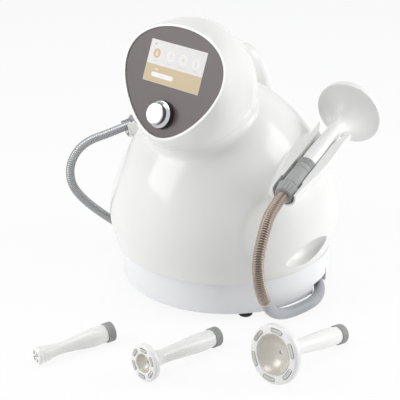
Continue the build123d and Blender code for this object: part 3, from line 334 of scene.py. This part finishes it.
floor_finish = bpy.data.materials.new("white paper sweep")
floor_finish.use_nodes = True
tree = floor_finish.node_tree
tree.nodes.clear()
paper = node(tree, "ShaderNodeBsdfDiffuse", {"Color": linear("F6F6F6")})
glow = node(tree, "ShaderNodeEmission", {"Color": (1.0, 1.0, 1.0, 1.0), "Strength": 1.0})
share = node(tree, "ShaderNodeMath", {0: straight_rays(tree), 1: 0.88}, operation="MULTIPLY")
both = node(tree, "ShaderNodeMixShader", {0: share.outputs[0], 1: paper.outputs[0], 2: glow.outputs[0]})
node(tree, "ShaderNodeOutputMaterial", {"Surface": both.outputs[0]})
sweep = bpy.data.meshes.new("floor")
REACH, DOWN = 9.0, -0.0005      # metres, and a hair under the feet
corners = ((-REACH, -REACH, DOWN), (REACH, -REACH, DOWN), (REACH, REACH, DOWN), (-REACH, REACH, DOWN))
sweep.from_pydata(corners, [], [(0, 1, 2, 3)])
sweep.materials.append(floor_finish)
floor = bpy.data.objects.new("floor", sweep)
bpy.context.scene.collection.objects.link(floor)
print("five lamps and a white sweep")

# %% [markdown]
# ## Plastics
#
# The housing is ABS, moulded in a polished tool and lacquered, so it is glossy with the faintest waviness.
# The base comes from another tool and looks a touch cooler. The grey parts of the hoses and end rings are
# moulded in a spark-eroded tool, which leaves a fine matt grain about 0.4 mm across; it is drawn at
# twice that so that it shows.

# %% Moulded finishes
housing_abs = moulded("lacquered ABS, white", "EAEAE7", "E6E6E3", 0.2, 14.0, 0.03, coat=0.35)
base_abs = moulded("lacquered ABS, cool white", "EDEEF0", "E9EAEC", 0.2, 14.0, 0.03, coat=0.35)
handle_abs = moulded("polished ABS, white", "F0F0EE", "ECECEA", 0.22, 6.0, 0.03, coat=0.25)
grey_abs = moulded("spark-grained ABS, grey", "A3A4A3", "999A99", 0.45, 0.8, 0.25)
black_abs = moulded("satin ABS, black", "17171A", "1E1E20", 0.4, 0.8, 0.2)
inner_abs = moulded("natural ABS", "D5D3CC", "CBC9C2", 0.5, 1.2, 0.2)
foot_rubber = moulded("moulded EPDM rubber", "161617", "202022", 0.75, 0.9, 0.5)
tube_silicone = moulded("extruded silicone", "D3D8DA", "C8CED1", 0.35, 3.0, 0.1)
# painted shadow: a thin grey band round each pad stands for the shade in the gap between pad and rim
pad_gap_shade = moulded("painted gap shadow, grey", "8B8883", "817E79", 0.5, 0.8, 0.2)
lead_pvc = moulded("PVC insulation, red", "9E2F27", "8C2A23", 0.4, 2.0, 0.1)
solder_mask = moulded("solder mask, green", "1F5C3B", "184C30", 0.35, 1.5, 0.3)
hose_pvc = moulded("translucent grey PVC", "A6A9AC", "9C9FA3", 0.38, 1.4, 0.15, coat=0.15)

# %% [markdown]
# ## The taupe panel
#
# The face panel is clear acrylic, printed taupe on its back. What the eye meets is a flat glossy front
# with the colour just under it, so a clear coat lies on a smooth base, and the print has a fine dust of
# lighter grains, about 0.3 mm, drawn at 1 mm.

# %% Printed acrylic
printed_acrylic, tree, shader, at = new_finish("back-printed acrylic, taupe", {
    "IOR": 1.49, "Roughness": 0.3, "Coat Weight": 0.15, "Coat Roughness": 0.05, "Coat IOR": 1.49})
dust = node(tree, "ShaderNodeTexNoise", {"Vector": at, "Scale": 1000.0, "Detail": 1.0})
drift = node(tree, "ShaderNodeTexNoise", {"Vector": at, "Scale": 7.0, "Detail": 1.0})
blend = node(tree, "ShaderNodeMath", {0: dust.outputs["Fac"], 1: drift.outputs["Fac"]}, operation="MULTIPLY")
print_colour = node(tree, "ShaderNodeMix", {0: blend.outputs[0], 6: linear("483E3D"), 7: linear("574D4C")},
                    data_type="RGBA")
tree.links.new(print_colour.outputs[2], shader.inputs["Base Color"])

# %% [markdown]
# ## Metals
#
# The knob is a zinc casting with bright chromium plate, turned smooth before plating, so it mirrors the
# white room in sharp bands. The pads are stainless steel, pressed and barrel-polished, a little softer.
# Sheet parts inside are zinc-plated, with the patchy crystals that plating leaves.

# %% Metal finishes
def metal(name, colour, shade, roughness, spread, grain, edge=None):
    """A bare or plated metal: colour drifts between two tones, and the roughness follows the same grains.
    With an edge colour, it paints a reflection: that colour where the surface turns away, as on a tube in a
    white tent."""
    finish, tree, shader, at = new_finish(name, {"Metallic": 1.0})
    patches = node(tree, "ShaderNodeTexVoronoi", {"Vector": at, "Scale": 1000.0 / grain, "Randomness": 1.0})
    cloud = node(tree, "ShaderNodeTexNoise", {"Vector": at, "Scale": 2500.0 / grain, "Detail": 2.0})
    value = node(tree, "ShaderNodeMath", {0: patches.outputs["Distance"], 1: cloud.outputs["Fac"]},
                 operation="MULTIPLY")
    tones = {0: value.outputs[0], 6: linear(colour), 7: linear(shade)}
    tone = node(tree, "ShaderNodeMix", tones, data_type="RGBA")
    if edge:
        # painted reflection: the edge colour grows where the surface turns away from the lens
        painted_reflection_share = node(tree, "ShaderNodeLayerWeight", {"Blend": 0.6}).outputs["Facing"]
        tones = {0: painted_reflection_share, 6: tone.outputs[2], 7: linear(edge)}
        tone = node(tree, "ShaderNodeMix", tones, data_type="RGBA")
    tree.links.new(tone.outputs[2], shader.inputs["Base Color"])
    rough = node(tree, "ShaderNodeMapRange", {"Value": value.outputs[0], "To Min": roughness,
                                              "To Max": roughness + spread})
    tree.links.new(rough.outputs["Result"], shader.inputs["Roughness"])
    return finish


chrome_plate = metal("bright chromium plate", "CFD0D3", "B4B6BA", 0.08, 0.06, 9.0)
pad_steel = metal("barrel-polished stainless steel", "D0CFCB", "B2B1AD", 0.16, 0.12, 3.0)
zinc_plate = metal("zinc-plated steel", "B4B8BD", "9DA3AA", 0.32, 0.25, 4.0)
cast_aluminium = metal("cast aluminium", "A7A9AB", "8F9194", 0.42, 0.25, 2.0)
turned_brass = metal("turned brass", "C3A264", "A98748", 0.22, 0.15, 3.0)
motor_steel = metal("blued motor can", "5A5D62", "484B50", 0.35, 0.2, 5.0)
# dark brown tones where it faces the lens and a pale tan edge: a reflection painted over heat-tinted steel
guard_steel_painted_reflection = metal("strip-wound stainless steel, heat-tinted", "5E584E", "48423A", 0.22, 0.16, 2.4,
                    edge="D9C7BB")
coil_copper = metal("enamelled copper winding", "9A5A32", "7E4522", 0.3, 0.2, 1.5)

# %% [markdown]
# ## Pearl and glass
#
# The inside of each cup is polycarbonate with a pearl pigment: milky, a little warm, and shiny. A clear
# coat over a soft base with a weak metallic share gives that sheen. The filter jar is plain clear plastic.

# %% Pearl and clear
pearl, tree, shader, at = new_finish("pearl polycarbonate", {
    "Metallic": 0.18, "IOR": 1.58, "Coat Weight": 0.5, "Coat Roughness": 0.06, "Sheen Weight": 0.1})
swirl = node(tree, "ShaderNodeTexNoise", {"Vector": at, "Scale": 45.0, "Detail": 4.0, "Distortion": 1.2})
milk = node(tree, "ShaderNodeMix", {0: swirl.outputs["Fac"], 6: linear("DDDAD3"), 7: linear("C5BFB2")},
            data_type="RGBA")
tree.links.new(milk.outputs[2], shader.inputs["Base Color"])
rough = node(tree, "ShaderNodeMapRange", {"Value": swirl.outputs["Fac"], "To Min": 0.2, "To Max": 0.34})
tree.links.new(rough.outputs["Result"], shader.inputs["Roughness"])
jar_clear, tree, shader, at = new_finish("clear polycarbonate", {
    "Base Color": linear("E6EEF0"), "IOR": 1.58, "Transmission Weight": 0.85})
haze = node(tree, "ShaderNodeTexNoise", {"Vector": at, "Scale": 120.0, "Detail": 2.0})
rough = node(tree, "ShaderNodeMapRange", {"Value": haze.outputs["Fac"], "To Min": 0.05, "To Max": 0.14})
tree.links.new(rough.outputs["Result"], shader.inputs["Roughness"])
print(len(bpy.data.materials), "finishes")

# %% [markdown]
# ## Pieces that keep their CAD mesh
#
# The housing is one blow of curves: ball, head, cradles and hand-holds. The CAD holds its exact form, with a
# normal at each corner that follows the true surface, so it stays, as do the base, the panel and all that
# sits inside and at the rear. Each piece gets the finish of what it is made of.

# %% Finishes of the pieces that stay
STAY = {
    housing_abs: ("body_shell",),
    base_abs: ("base_tray",),
    printed_acrylic: ("face_panel",),
    zinc_plate: ("chassis_plate", "rear_panel", "screws", "power_supply", "fan_grille", "encoder_rotor"),
    cast_aluminium: ("pump_head", "valve_block", "display_module", "encoder_body"),
    turned_brass: ("hose_ports", "inlet_pins", "board_standoffs"),
    black_abs: ("power_inlet", "switch_case", "switch_rocker", "fuse_holder", "fan_frame", "fan_rotor"),
    motor_steel: ("pump_motor",),
    pad_steel: ("pump_crank",),
    foot_rubber: ("rubber_feet", "pump_mounts"),
    jar_clear: ("filter_jar",),
    inner_abs: ("filter_lid",),
    coil_copper: ("transformer",),
    solder_mask: ("circuit_boards",),
    tube_silicone: ("suction_tubes",),
    lead_pvc: ("wiring",),
}
for finish, names in STAY.items():
    for name in names:
        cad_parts[name].material_slots[0].material = finish
print(sum(len(names) for names in STAY.values()), "nodes finished")

# %% [markdown]
# ## The screen
#
# A five-inch display under a pale cover glass, level with the panel. Its picture is a plain menu:
# a white field with four round buttons, and a sand-coloured band with a white bar. The picture is flat
# shapes just above a lit ground, as layers of ink would be, and it carries no words.

# %% Screen ground
SCREEN_W, SCREEN_H = 110.4, 62.1


def lit(name, colour):
    """A part of the display's picture: mostly its own colour, and a little of its own light, under glass."""
    finish, tree, shader, at = new_finish(name, {
        "Roughness": 0.16, "IOR": 1.5, "Emission Strength": 0.05, "Emission Color": linear(colour)})
    pixels = node(tree, "ShaderNodeTexNoise", {"Vector": at, "Scale": 900.0, "Detail": 0.0})
    tone = node(tree, "ShaderNodeMix", {0: pixels.outputs["Fac"], 6: linear(colour)}, data_type="RGBA")
    tone.inputs[7].default_value = tuple(0.93 * c for c in linear(colour)[:3]) + (1.0,)
    tree.links.new(tone.outputs[2], shader.inputs["Base Color"])
    return finish


def inked(name, outlines, finish, lift):
    """Flat convex shapes on the screen, each an outline of (across, up) points, as one mesh of fans."""
    points, faces = [], []
    for outline in outlines:
        outline = np.asarray(outline, float)
        first, count = len(points), len(outline)
        flat = np.column_stack([outline, np.full(count, GLASS_TOP + lift)])
        points.extend(moved(flat, FACE).tolist())
        faces.append(list(range(first, first + count)))
    mesh_piece(name, points, faces, finish, "machine")


def round_shape(x, y, radius, squash=1.0, power=2.0, count=40):
    """A superellipse outline about a point: power 2 is a circle, more makes it squarer."""
    t = np.linspace(0.0, 2.0 * np.pi, count, endpoint=False)
    c, s = np.cos(t), np.sin(t)
    return np.column_stack([x + radius * np.sign(c) * np.abs(c) ** (2 / power),
                            y + radius * squash * np.sign(s) * np.abs(s) ** (2 / power)])


def bar_shape(x0, x1, y, height, count=12):
    """A bar with round ends between two places across the screen."""
    r = height / 2
    t = np.linspace(-np.pi / 2, np.pi / 2, count)
    right_end = np.column_stack([x1 - r + r * np.cos(t), y + r * np.sin(t)])
    left_end = np.column_stack([x0 + r - r * np.cos(t), y - r * np.sin(t)])
    return np.vstack([right_end, left_end])


def box_shape(x0, x1, y0, y1):
    """A rectangle's outline."""
    return np.array([(x0, y0), (x1, y0), (x1, y1), (x0, y1)], float)


cover_glass, tree, shader, at = new_finish("pale-edged cover glass", {
    "IOR": 1.52, "Roughness": 0.05, "Coat Weight": 0.5})
edge = node(tree, "ShaderNodeTexNoise", {"Vector": at, "Scale": 300.0})
tone = node(tree, "ShaderNodeMix", {0: edge.outputs["Fac"], 6: linear("D9D5CD"), 7: linear("CFCBC3")},
            data_type="RGBA")
tree.links.new(tone.outputs[2], shader.inputs["Base Color"])
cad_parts["display_screen"].material_slots[0].material = cover_glass

PICTURE_EDGE, BAND_TOP = 0.3, -5.0      # the glass shows round the picture; the band starts below its middle
w, h = SCREEN_W / 2 - PICTURE_EDGE, SCREEN_H / 2 - PICTURE_EDGE
inked("screen_field", [box_shape(-w, w, BAND_TOP, h)], lit("display field, white", "D5D3D1"), 0.04)
inked("screen_band", [box_shape(-w, w, -h, BAND_TOP)], lit("display band, sand", "BCA780"), 0.04)

# %% [markdown]
# The round buttons stand in a row. The chosen one is tan, and the others are pale discs with a small
# coloured mark: a petal, a leaf and a drop. Under each, a thin bar stands for its caption.

# %% Screen buttons and bars
BUTTONS = [(-39.4, 11.5), (-11.3, 12.0), (13.4, 11.6), (38.4, 11.2)]
RIM_R, FACE_R = 7.6, 6.7
rims = [round_shape(x, y, RIM_R) for x, y in BUTTONS[1:]]
faces = [round_shape(x, y, FACE_R) for x, y in BUTTONS[1:]]
inked("screen_buttons", rims, lit("button, pale", "E3E1DE"), 0.08)
inked("screen_button_faces", faces, lit("button face", "DAD8D5"), 0.12)
inked("screen_chosen", [round_shape(*BUTTONS[0], 7.0)], lit("button, tan", "C2A588"), 0.08)
inked("screen_chosen_mark", [round_shape(-39.2, 10.6, 3.0, 1.25), round_shape(-39.6, 15.0, 1.5)],
      lit("mark, skin", "D9C1AA"), 0.12)
inked("screen_petal", [round_shape(-11.6, 13.4, 1.5, 1.7, 1.6), round_shape(-10.9, 9.4, 1.2, 1.2)],
      lit("mark, pink", "DDC0C6"), 0.16)
inked("screen_leaf", [round_shape(13.2, 12.2, 2.4, 0.9, 1.4), round_shape(14.6, 9.8, 1.1)],
      lit("mark, green", "C8CAB4"), 0.16)
inked("screen_drop", [round_shape(38.4, 11.6, 1.3, 1.5, 1.5), bar_shape(36.0, 40.8, 8.2, 0.9)],
      lit("mark, grey green", "C4C1B4"), 0.16)
captions = [bar_shape(x - r, x + r, 0.4, 1.1) for (x, y), r in zip(BUTTONS, (4.5, 4.5, 8.5, 5.0))]
inked("screen_captions", captions, lit("caption, grey", "C3BFC2"), 0.08)
heading = [bar_shape(-13.0 + 11.2 * i, -4.5 + 11.2 * i, 26.6, 0.9) for i in range(6)]
inked("screen_heading", heading, lit("heading, grey rose", "D3C6C6"), 0.08)
inked("screen_back_mark", [np.array([(-47.6, 24.4), (-43.6, 27.4), (-44.8, 24.4), (-43.6, 21.6)])],
      lit("mark, slate", "A9A3A6"), 0.08)
inked("screen_bar", [bar_shape(-40.8, 2.6, -19.4, 6.8)], lit("bar, white", "E6E2DE"), 0.08)
inked("screen_bar_marks", [bar_shape(-38.2, -35.2, -19.4, 1.2), bar_shape(-3.0, 0.0, -19.4, 1.2),
                           bar_shape(-25.0, -15.0, -19.4, 1.0)], lit("bar mark, rose", "D9BFC4"), 0.12)
inked("screen_band_note", [bar_shape(-36.0, -29.5, -11.4, 1.2)], lit("note, cream", "EADFCB"), 0.08)
print("screen drawn")

# %% [markdown]
# ## The knob
#
# A press-and-turn knob: a disc-shaped flange, a short cone and a cap with a bevelled edge. It is a turned
# part, so a lathe profile is its natural recipe. Each corner of the profile is rounded by a few tenths.
# Under it lies a black bush, a little wider than the flange, which shows as a crescent at the knob's side.

# %% Knob
knob_line = eased([(0.0, 18.9), (11.8, 18.9), (12.6, 19.2), (14.6, 19.2), (16.3, 17.8), (16.3, 10.6),
                   (17.4, 8.9), (18.4, 8.4), (18.7, 7.7), (20.3, 7.3), (20.3, 5.0), (19.6, 4.5), (3.0, 4.5),
                   (3.0, -8.0), (0.0, -8.0)], 0.45)
knob = lathe("knob", knob_line, KNOB, chrome_plate, "knob_push", 128)
stands_for(knob, "knob_cap")
bush_line = eased([(3.6, 0.0), (3.6, 3.0), (20.9, 3.0), (21.2, 0.0)], 0.5)
stands_for(lathe("knob_bush", bush_line, KNOB, black_abs, "machine", 96, closed=True), "knob_collar")
print("knob", len(knob_line), "rows")

# %% [markdown]
# ## Applicators
#
# All applicators share one family shape: a grip that narrows to a waist, then flares into a cup with a
# round lip and a flat rim. Six pressed steel pads sit on the rim round a pearly dish, each ringed by a thin
# grey band, painted shadow of the gap round the pad, that shows as its outline. The smallest has no dish
# and four pads. One function makes them all.

# %% The applicator's pieces
DOCKED = {"face": 53.0, "length": 170.0, "neck": 11.5, "neck_at": 60.0, "rim": 13.0, "pads": 6, "arc": 30.0}
LARGE = {"face": 43.0, "length": 155.0, "neck": 11.0, "neck_at": 50.0, "rim": 11.5, "pads": 6, "arc": 32.0}
MEDIUM = {"face": 27.5, "length": 143.0, "neck": 10.5, "neck_at": 38.0, "rim": 9.0, "pads": 6, "arc": 34.0}
SMALL = {"face": 13.5, "length": 125.0, "neck": 8.6, "neck_at": 38.0, "rim": 7.0, "pads": 4, "arc": 44.0}
BEND = 2.945


def dish_line(kind, lift, steps=40):
    """The cup's hollow from its edge to the middle: the depth falls off with the radius to a fixed power."""
    r, depth = kind["face"] - 13.0, 0.45 * kind["face"]
    x = np.linspace(1.0, 0.0, steps)
    return np.column_stack([r * x, kind["length"] + lift - depth * (1.0 - x ** BEND)])


def shell_line(kind):
    """The handle's whole outline, from the end of its bore round the outside to the middle of the cup."""
    face, length, neck = kind["face"], kind["length"], kind["neck"]
    waist, rear = length - kind["neck_at"], length - kind["rim"]
    slope = (1.0, 0.35) if face > 20 else (0.0, 1.0)
    bore = [(0.0, waist - 14.0), (8.2, waist - 16.0), (8.5, 12.4), (8.7, 12.05), (12.6, 12.05)]
    grip = swept_line([(12.9, 12.3), (13.7, 12.0 + 0.3 * (waist - 12.0)), (neck, waist)],
                      [(0.02, 1.0), (neck - 12.9, waist - 12.0), (0.0, 1.0)], 20)
    flare = swept_line([(neck, waist), (face - 1.2, rear)], [(0.0, 1.0), slope], 32)
    lip = swept_line([(face - 1.2, rear), (face, rear + 0.45 * kind["rim"]), (face - 3.5, length)],
                     [slope, (0.0, 1.0), (-1.0, 0.15)], 12)
    if face > 20:
        inner = [(face - 12.6, length), (face - 13.0, length - 0.4)] + dish_line(kind, -0.2)[2:].tolist()
    else:
        inner = [(2.8, length), (2.5, length - 0.3), (2.5, length - 5.0), (0.0, length - 5.0)]
    return np.vstack([bore, grip, flare, lip, inner])


def liner_line(kind):
    """The pearly dish, 1.6 mm thick, with its suction port in the middle."""
    top, low = dish_line(kind, 1.6), dish_line(kind, 0.05)
    high = kind["length"] - 0.5
    top = top[(top[:, 1] < high) & (top[:, 0] > 3.0)]
    low = low[(low[:, 1] < high) & (low[:, 0] > 2.6)][::-1]
    brim = [(low[-1, 0] + 0.2, high - 0.2), (low[-1, 0], high), (top[0, 0] + 0.6, high),
            (top[0, 0] + 0.2, high - 0.2)]
    port = [(2.7, top[-1, 1] - 0.1), (2.5, top[-1, 1] - 0.5)]
    return np.vstack([top, port, low, brim])


PAD = np.array([(0.0, 0.8), (0.5, 0.8), (0.78, 0.74), (0.9, 0.8), (0.97, 0.62), (1.0, 0.3), (1.0, 0.0)])
# rings of the grey band round each pad, which is painted shadow of the gap between pad and rim
GAP_SHADE_RINGS = np.array([(0.7, 0.12), (1.0, 0.12), (1.0, -0.05), (0.7, -0.05)])
PAD_SIDES, GAP_SHADE_WIDTH = 48, 0.8


def pad_points(kind, index, matrix, rings, grow=0.0):
    """Rings of a rounded sector of the cup's rim: each ring is a share of the pad's size and a height above
    the rim, so a pressed pad has its edge rolled down. grow makes the sector larger all round, in mm."""
    cup = kind["face"] > 20
    middle_r = kind["face"] - 13.0 + 5.46 if cup else 6.6
    half_w = ((2.5 if kind["face"] > 35 else 2.2) if cup else 1.4) + grow
    half_arc = math.radians(kind["arc"] / 2) + grow / middle_r
    t = np.linspace(0.0, 2.0 * np.pi, PAD_SIDES, endpoint=False)
    c, s = np.cos(t), np.sin(t)
    x, y = np.sign(c) * np.abs(c) ** 0.4, np.sign(s) * np.abs(s) ** 0.4
    k, high = rings[:, :1], rings[:, 1:]
    angle = (index + 0.5) * 2.0 * np.pi / kind["pads"] + half_arc * k * x
    radius = middle_r + half_w * k * y
    height = np.broadcast_to(kind["length"] + high, angle.shape)
    return moved(np.stack([radius * np.cos(angle), radius * np.sin(angle), height], 2), matrix)


# %% Applicators and their places
def applicator(name, kind, matrix, body):
    """Shell, liner, painted gap shadows, pads and end ring of one applicator; all but the painted gap shadows
    replace CAD nodes.
    """
    shell = lathe(name + "_handle", shell_line(kind), matrix, handle_abs, body, 112)
    stands_for(shell, name + "_shell")
    if kind["face"] > 20:
        dish = lathe(name + "_dish", liner_line(kind), matrix, pearl, body, 96, closed=True)
        stands_for(dish, name + "_liner")
    # the grey bands round the pads are painted shadow of their gaps
    each, rows = range(kind["pads"]), len(GAP_SHADE_RINGS)
    points = np.vstack([pad_points(kind, i, matrix, GAP_SHADE_RINGS, GAP_SHADE_WIDTH) for i in each])
    faces = [f for i in each for f in grid_faces(rows, PAD_SIDES, True, True, i * rows * PAD_SIDES)]
    gap_shades = mesh_piece(name + "_gap_shade", points, faces, pad_gap_shade, body)
    rows = len(PAD)
    points = np.vstack([pad_points(kind, i, matrix, PAD) for i in each])
    faces = [f for i in each for f in grid_faces(rows, PAD_SIDES, False, True, i * rows * PAD_SIDES)]
    ends = [(i + 1) * rows * PAD_SIDES for i in each]
    faces += [list(range(end - PAD_SIDES, end)) for end in ends]
    pads = mesh_piece(name + "_contacts", points, faces, pad_steel, body)
    stands_for(pads, name + "_pads")
    outer, deep = END_RING_R, END_RING_R - 0.5
    line = [(8.0, 11.9), (8.0, 0.1), (8.4, 0.0), (14.1, 0.0), (outer, 0.6)]
    for groove in (3.0, 6.0, 9.0):
        line += [(outer, groove - 0.5), (deep, groove - 0.4), (deep, groove + 0.4), (outer, groove + 0.5)]
    line += [(outer, 11.5), (14.3, END_RING_L), (8.2, END_RING_L)]
    collar = lathe(name + "_collar", np.array(line), matrix, grey_abs, body, 96, closed=True)
    stands_for(collar, name + "_ring")


applicator("docked_right", DOCKED, DOCKED_RIGHT, "docked_right")
applicator("docked_left", DOCKED, DOCKED_LEFT, "docked_left")
applicator("small", SMALL, lying(SMALL, (55.0, -278.0), 262.3), "small")
applicator("medium", MEDIUM, lying(MEDIUM, (168.0, -172.0), 271.7), "medium")
applicator("large", LARGE, lying(LARGE, (283.5, -30.0), 273.9), "large")
print("five applicators")

# %% [markdown]
# ## Couplings and nuts
#
# A grey coupling plugs into the end ring, and a tapered nut behind it clamps the hose. The nut has
# shallow flutes for the fingers, so its radius swings with the angle round the axis.

# %% Couplings and nuts
HOSE_END = -67.0        # where the hose leaves its nut, from the back of the end ring
NUT_TOP = -50.0
coupling_line = eased([(5.0, 11.0), (7.9, 11.0), (7.9, 0.0), (13.9, 0.0), (13.9, -10.0), (13.3, -10.0),
                       (13.3, -10.8), (13.9, -10.8), (13.9, -46.6), (13.1, -46.8), (13.1, NUT_TOP),
                       (7.9, NUT_TOP), (7.9, HOSE_END), (5.0, HOSE_END)], 0.35, 3)
nut_line = eased([(7.95, HOSE_END), (13.6, HOSE_END), (16.5, NUT_TOP - 3.05), (16.5, NUT_TOP - 0.05),
                  (7.95, NUT_TOP - 0.05)], 0.8, 4)


def fluted(angle, row):
    """Sixteen flutes with fine grip lines between them, only on the nut's outside."""
    outside = (nut_line[row, 0] > 12.5) * 1.0
    flute = np.clip(np.cos(16 * angle), 0.55, 1.0) - 0.55
    return -outside * (1.6 * flute + 0.1 * (1 + np.cos(64 * angle)))


for side, matrix in (("right", DOCKED_RIGHT), ("left", DOCKED_LEFT)):
    body = lathe("connector_" + side, coupling_line, matrix, grey_abs, "docked_" + side, 96, closed=True,
                 sharp=30.0)
    stands_for(body, "coupling_" + side)
    nut = lathe("clamp_nut_" + side, nut_line, matrix, grey_abs, "nut_" + side, 320, closed=True,
                swell=fluted)
    stands_for(nut, "coupling_nut_" + side)
print("nut rows", len(nut_line))

# %% [markdown]
# ## Hoses
#
# Each hose leaves its nut, hangs in a loop beside the ball and comes back under the rim of the base. It is
# a smooth NURBS line through the route of the CAD model. The upper stretch wears a guard wound from
# steel strip: its radius rises and falls once in each turn of the strip. The rest is grey PVC with
# the faint ribs of the spiral inside it.

# %% Routes of the hoses
LEAD = 38.0             # the hose leaves its nut straight for about half of this
ROUTE = {
    "right": [(215.1, -126.5, 186.0), (223.1, -146.4, 149.0), (221.8, -138.6, 102.0), (207.0, -111.5, 62.0),
              (190.5, -79.0, 28.0), (182.0, -43.0, 9.4), (184.0, -6.0, 9.0), (180.0, 27.0, 9.0),
              (162.0, 54.5, 12.0), (133.0, 70.0, 19.0), (100.0, 70.0, 19.0)],
    "left": [(-206.0, -127.0, 197.0), (-211.7, -152.2, 168.0), (-211.0, -154.2, 131.0),
             (-205.7, -136.0, 100.0), (-201.0, -105.7, 68.0), (-197.0, -70.0, 36.0), (-186.0, -34.0, 9.0),
             (-184.0, 3.0, 7.4), (-178.0, 31.0, 7.4), (-159.0, 56.0, 10.5), (-131.0, 70.0, 19.0),
             (-100.0, 70.0, 19.0)],
}


def smooth_route(name, points):
    """Points of a NURBS line of order three along a route in mm, read from the curve itself."""
    line = bpy.data.curves.new(name, "CURVE")
    line.dimensions = "3D"
    spline = line.splines.new("NURBS")
    spline.points.add(len(points) - 1)
    spline.points.foreach_set("co", np.column_stack([np.array(points) * MM, np.ones(len(points))]).ravel())
    spline.order_u = 3
    spline.use_endpoint_u = True
    spline.resolution_u = 40
    carrier = bpy.data.objects.new(name, line)
    mesh = bpy.data.meshes.new_from_object(carrier)
    path = np.empty(len(mesh.vertices) * 3)
    mesh.vertices.foreach_get("co", path)
    bpy.data.objects.remove(carrier)
    return path.reshape(-1, 3) / MM


def along(path, spots):
    """Points and directions of a path at distances from its start."""
    run = np.concatenate([[0.0], np.cumsum(np.linalg.norm(np.diff(path, axis=0), axis=1))])
    at = np.column_stack([np.interp(spots, run, path[:, i]) for i in range(3)])
    way = np.gradient(at, axis=0)
    return at, way / np.linalg.norm(way, axis=1)[:, None], run[-1]


def tubing(name, path, spots, radius, steady, finish, count=36):
    """A tube round a path, with its radius given at each distance: point = path + radius * (side * cosine
    + other * sine of the angle), where side is a steady axis made square to the path."""
    at, way, _ = along(path, spots)
    side = steady - way * (way @ steady)[:, None]
    side = side / np.linalg.norm(side, axis=1)[:, None]
    other = np.cross(way, side)
    angle = np.linspace(0.0, 2.0 * np.pi, count, endpoint=False)
    ring = side[:, None] * np.cos(angle)[None, :, None] + other[:, None] * np.sin(angle)[None, :, None]
    grid = (at[:, None] + ring * np.asarray(radius)[:, None, None]).reshape(-1, 3)
    return mesh_piece(name, grid, grid_faces(len(spots), count, False, True), finish, "machine", 60.0)


# %% Hoses and guards
guard_plain = metal("strip-wound stainless steel", "A9ABAD", "8A8C8F", 0.24, 0.16, 2.4)
STRIP_PITCH, STRIP_RISE = 3.4, 0.7      # one turn of the guard's strip
RIB_PITCH, RIB_RISE = 4.4, 0.3          # one turn of the spiral inside the hose
WALL_GAP = 0.3                          # the hose's own surface lies so far under its ribs


def ridged(spots, base, height, pitch, first, last):
    """A radius with one flat-topped ridge in each pitch between two distances."""
    turn = np.mod(spots - first, pitch) / pitch
    ridge = np.clip(np.minimum(turn / 0.25, (1.0 - turn) / 0.35), 0.0, 1.0)
    return base + height * ridge * ((spots > first) & (spots < last))


# for each side: where it starts, its sign, the outer radius, how far the guard reaches, and its metal
KINDS = (("right", DOCKED_RIGHT, 1, 8.8, 208.0, guard_steel_painted_reflection),
         ("left", DOCKED_LEFT, -1, 7.2, 320.0, guard_plain))
for side, start, sign, outer, guard_end, guard_finish in KINDS:
    exit_point = shifted(start, z=HOSE_END)[:3, 3]
    second = shifted(start, z=HOSE_END - LEAD)[:3, 3]
    path = smooth_route("route_" + side, [exit_point, second] + [np.array(p) for p in ROUTE[side]])
    length = along(path, np.array([0.0, 1.0]))[2]
    steady = np.array((sign * 0.7, 0.1, 0.7))
    spots = np.arange(0.0, length, 0.55)
    radius = np.where(spots < guard_end, outer - 0.75, outer - WALL_GAP)
    radius = radius + ridged(spots, 0.0, RIB_RISE, RIB_PITCH, guard_end + 4.0, length - 30.0)
    spots = np.concatenate([[0.0], spots, [length - 0.02, length]])
    spots[1] = 0.02
    radius = np.concatenate([[0.01], radius, [outer - WALL_GAP, 0.01]])
    hose = tubing("hose_tube_" + side, path, spots, radius, steady, hose_pvc)
    spots = np.arange(1.0, guard_end, STRIP_PITCH / 7)
    radius = ridged(spots, outer - STRIP_RISE, STRIP_RISE, STRIP_PITCH, 1.0, guard_end - 2.0)
    radius[:2], radius[-8:] = outer - 0.4, outer + 0.05
    guard = tubing("hose_guard_" + side, path, spots, radius, steady, guard_finish)
    stands_for(hose, "hose_" + side)
    print("hose", side, round(length), "mm")

# %% Update the scene
bpy.context.view_layer.update()
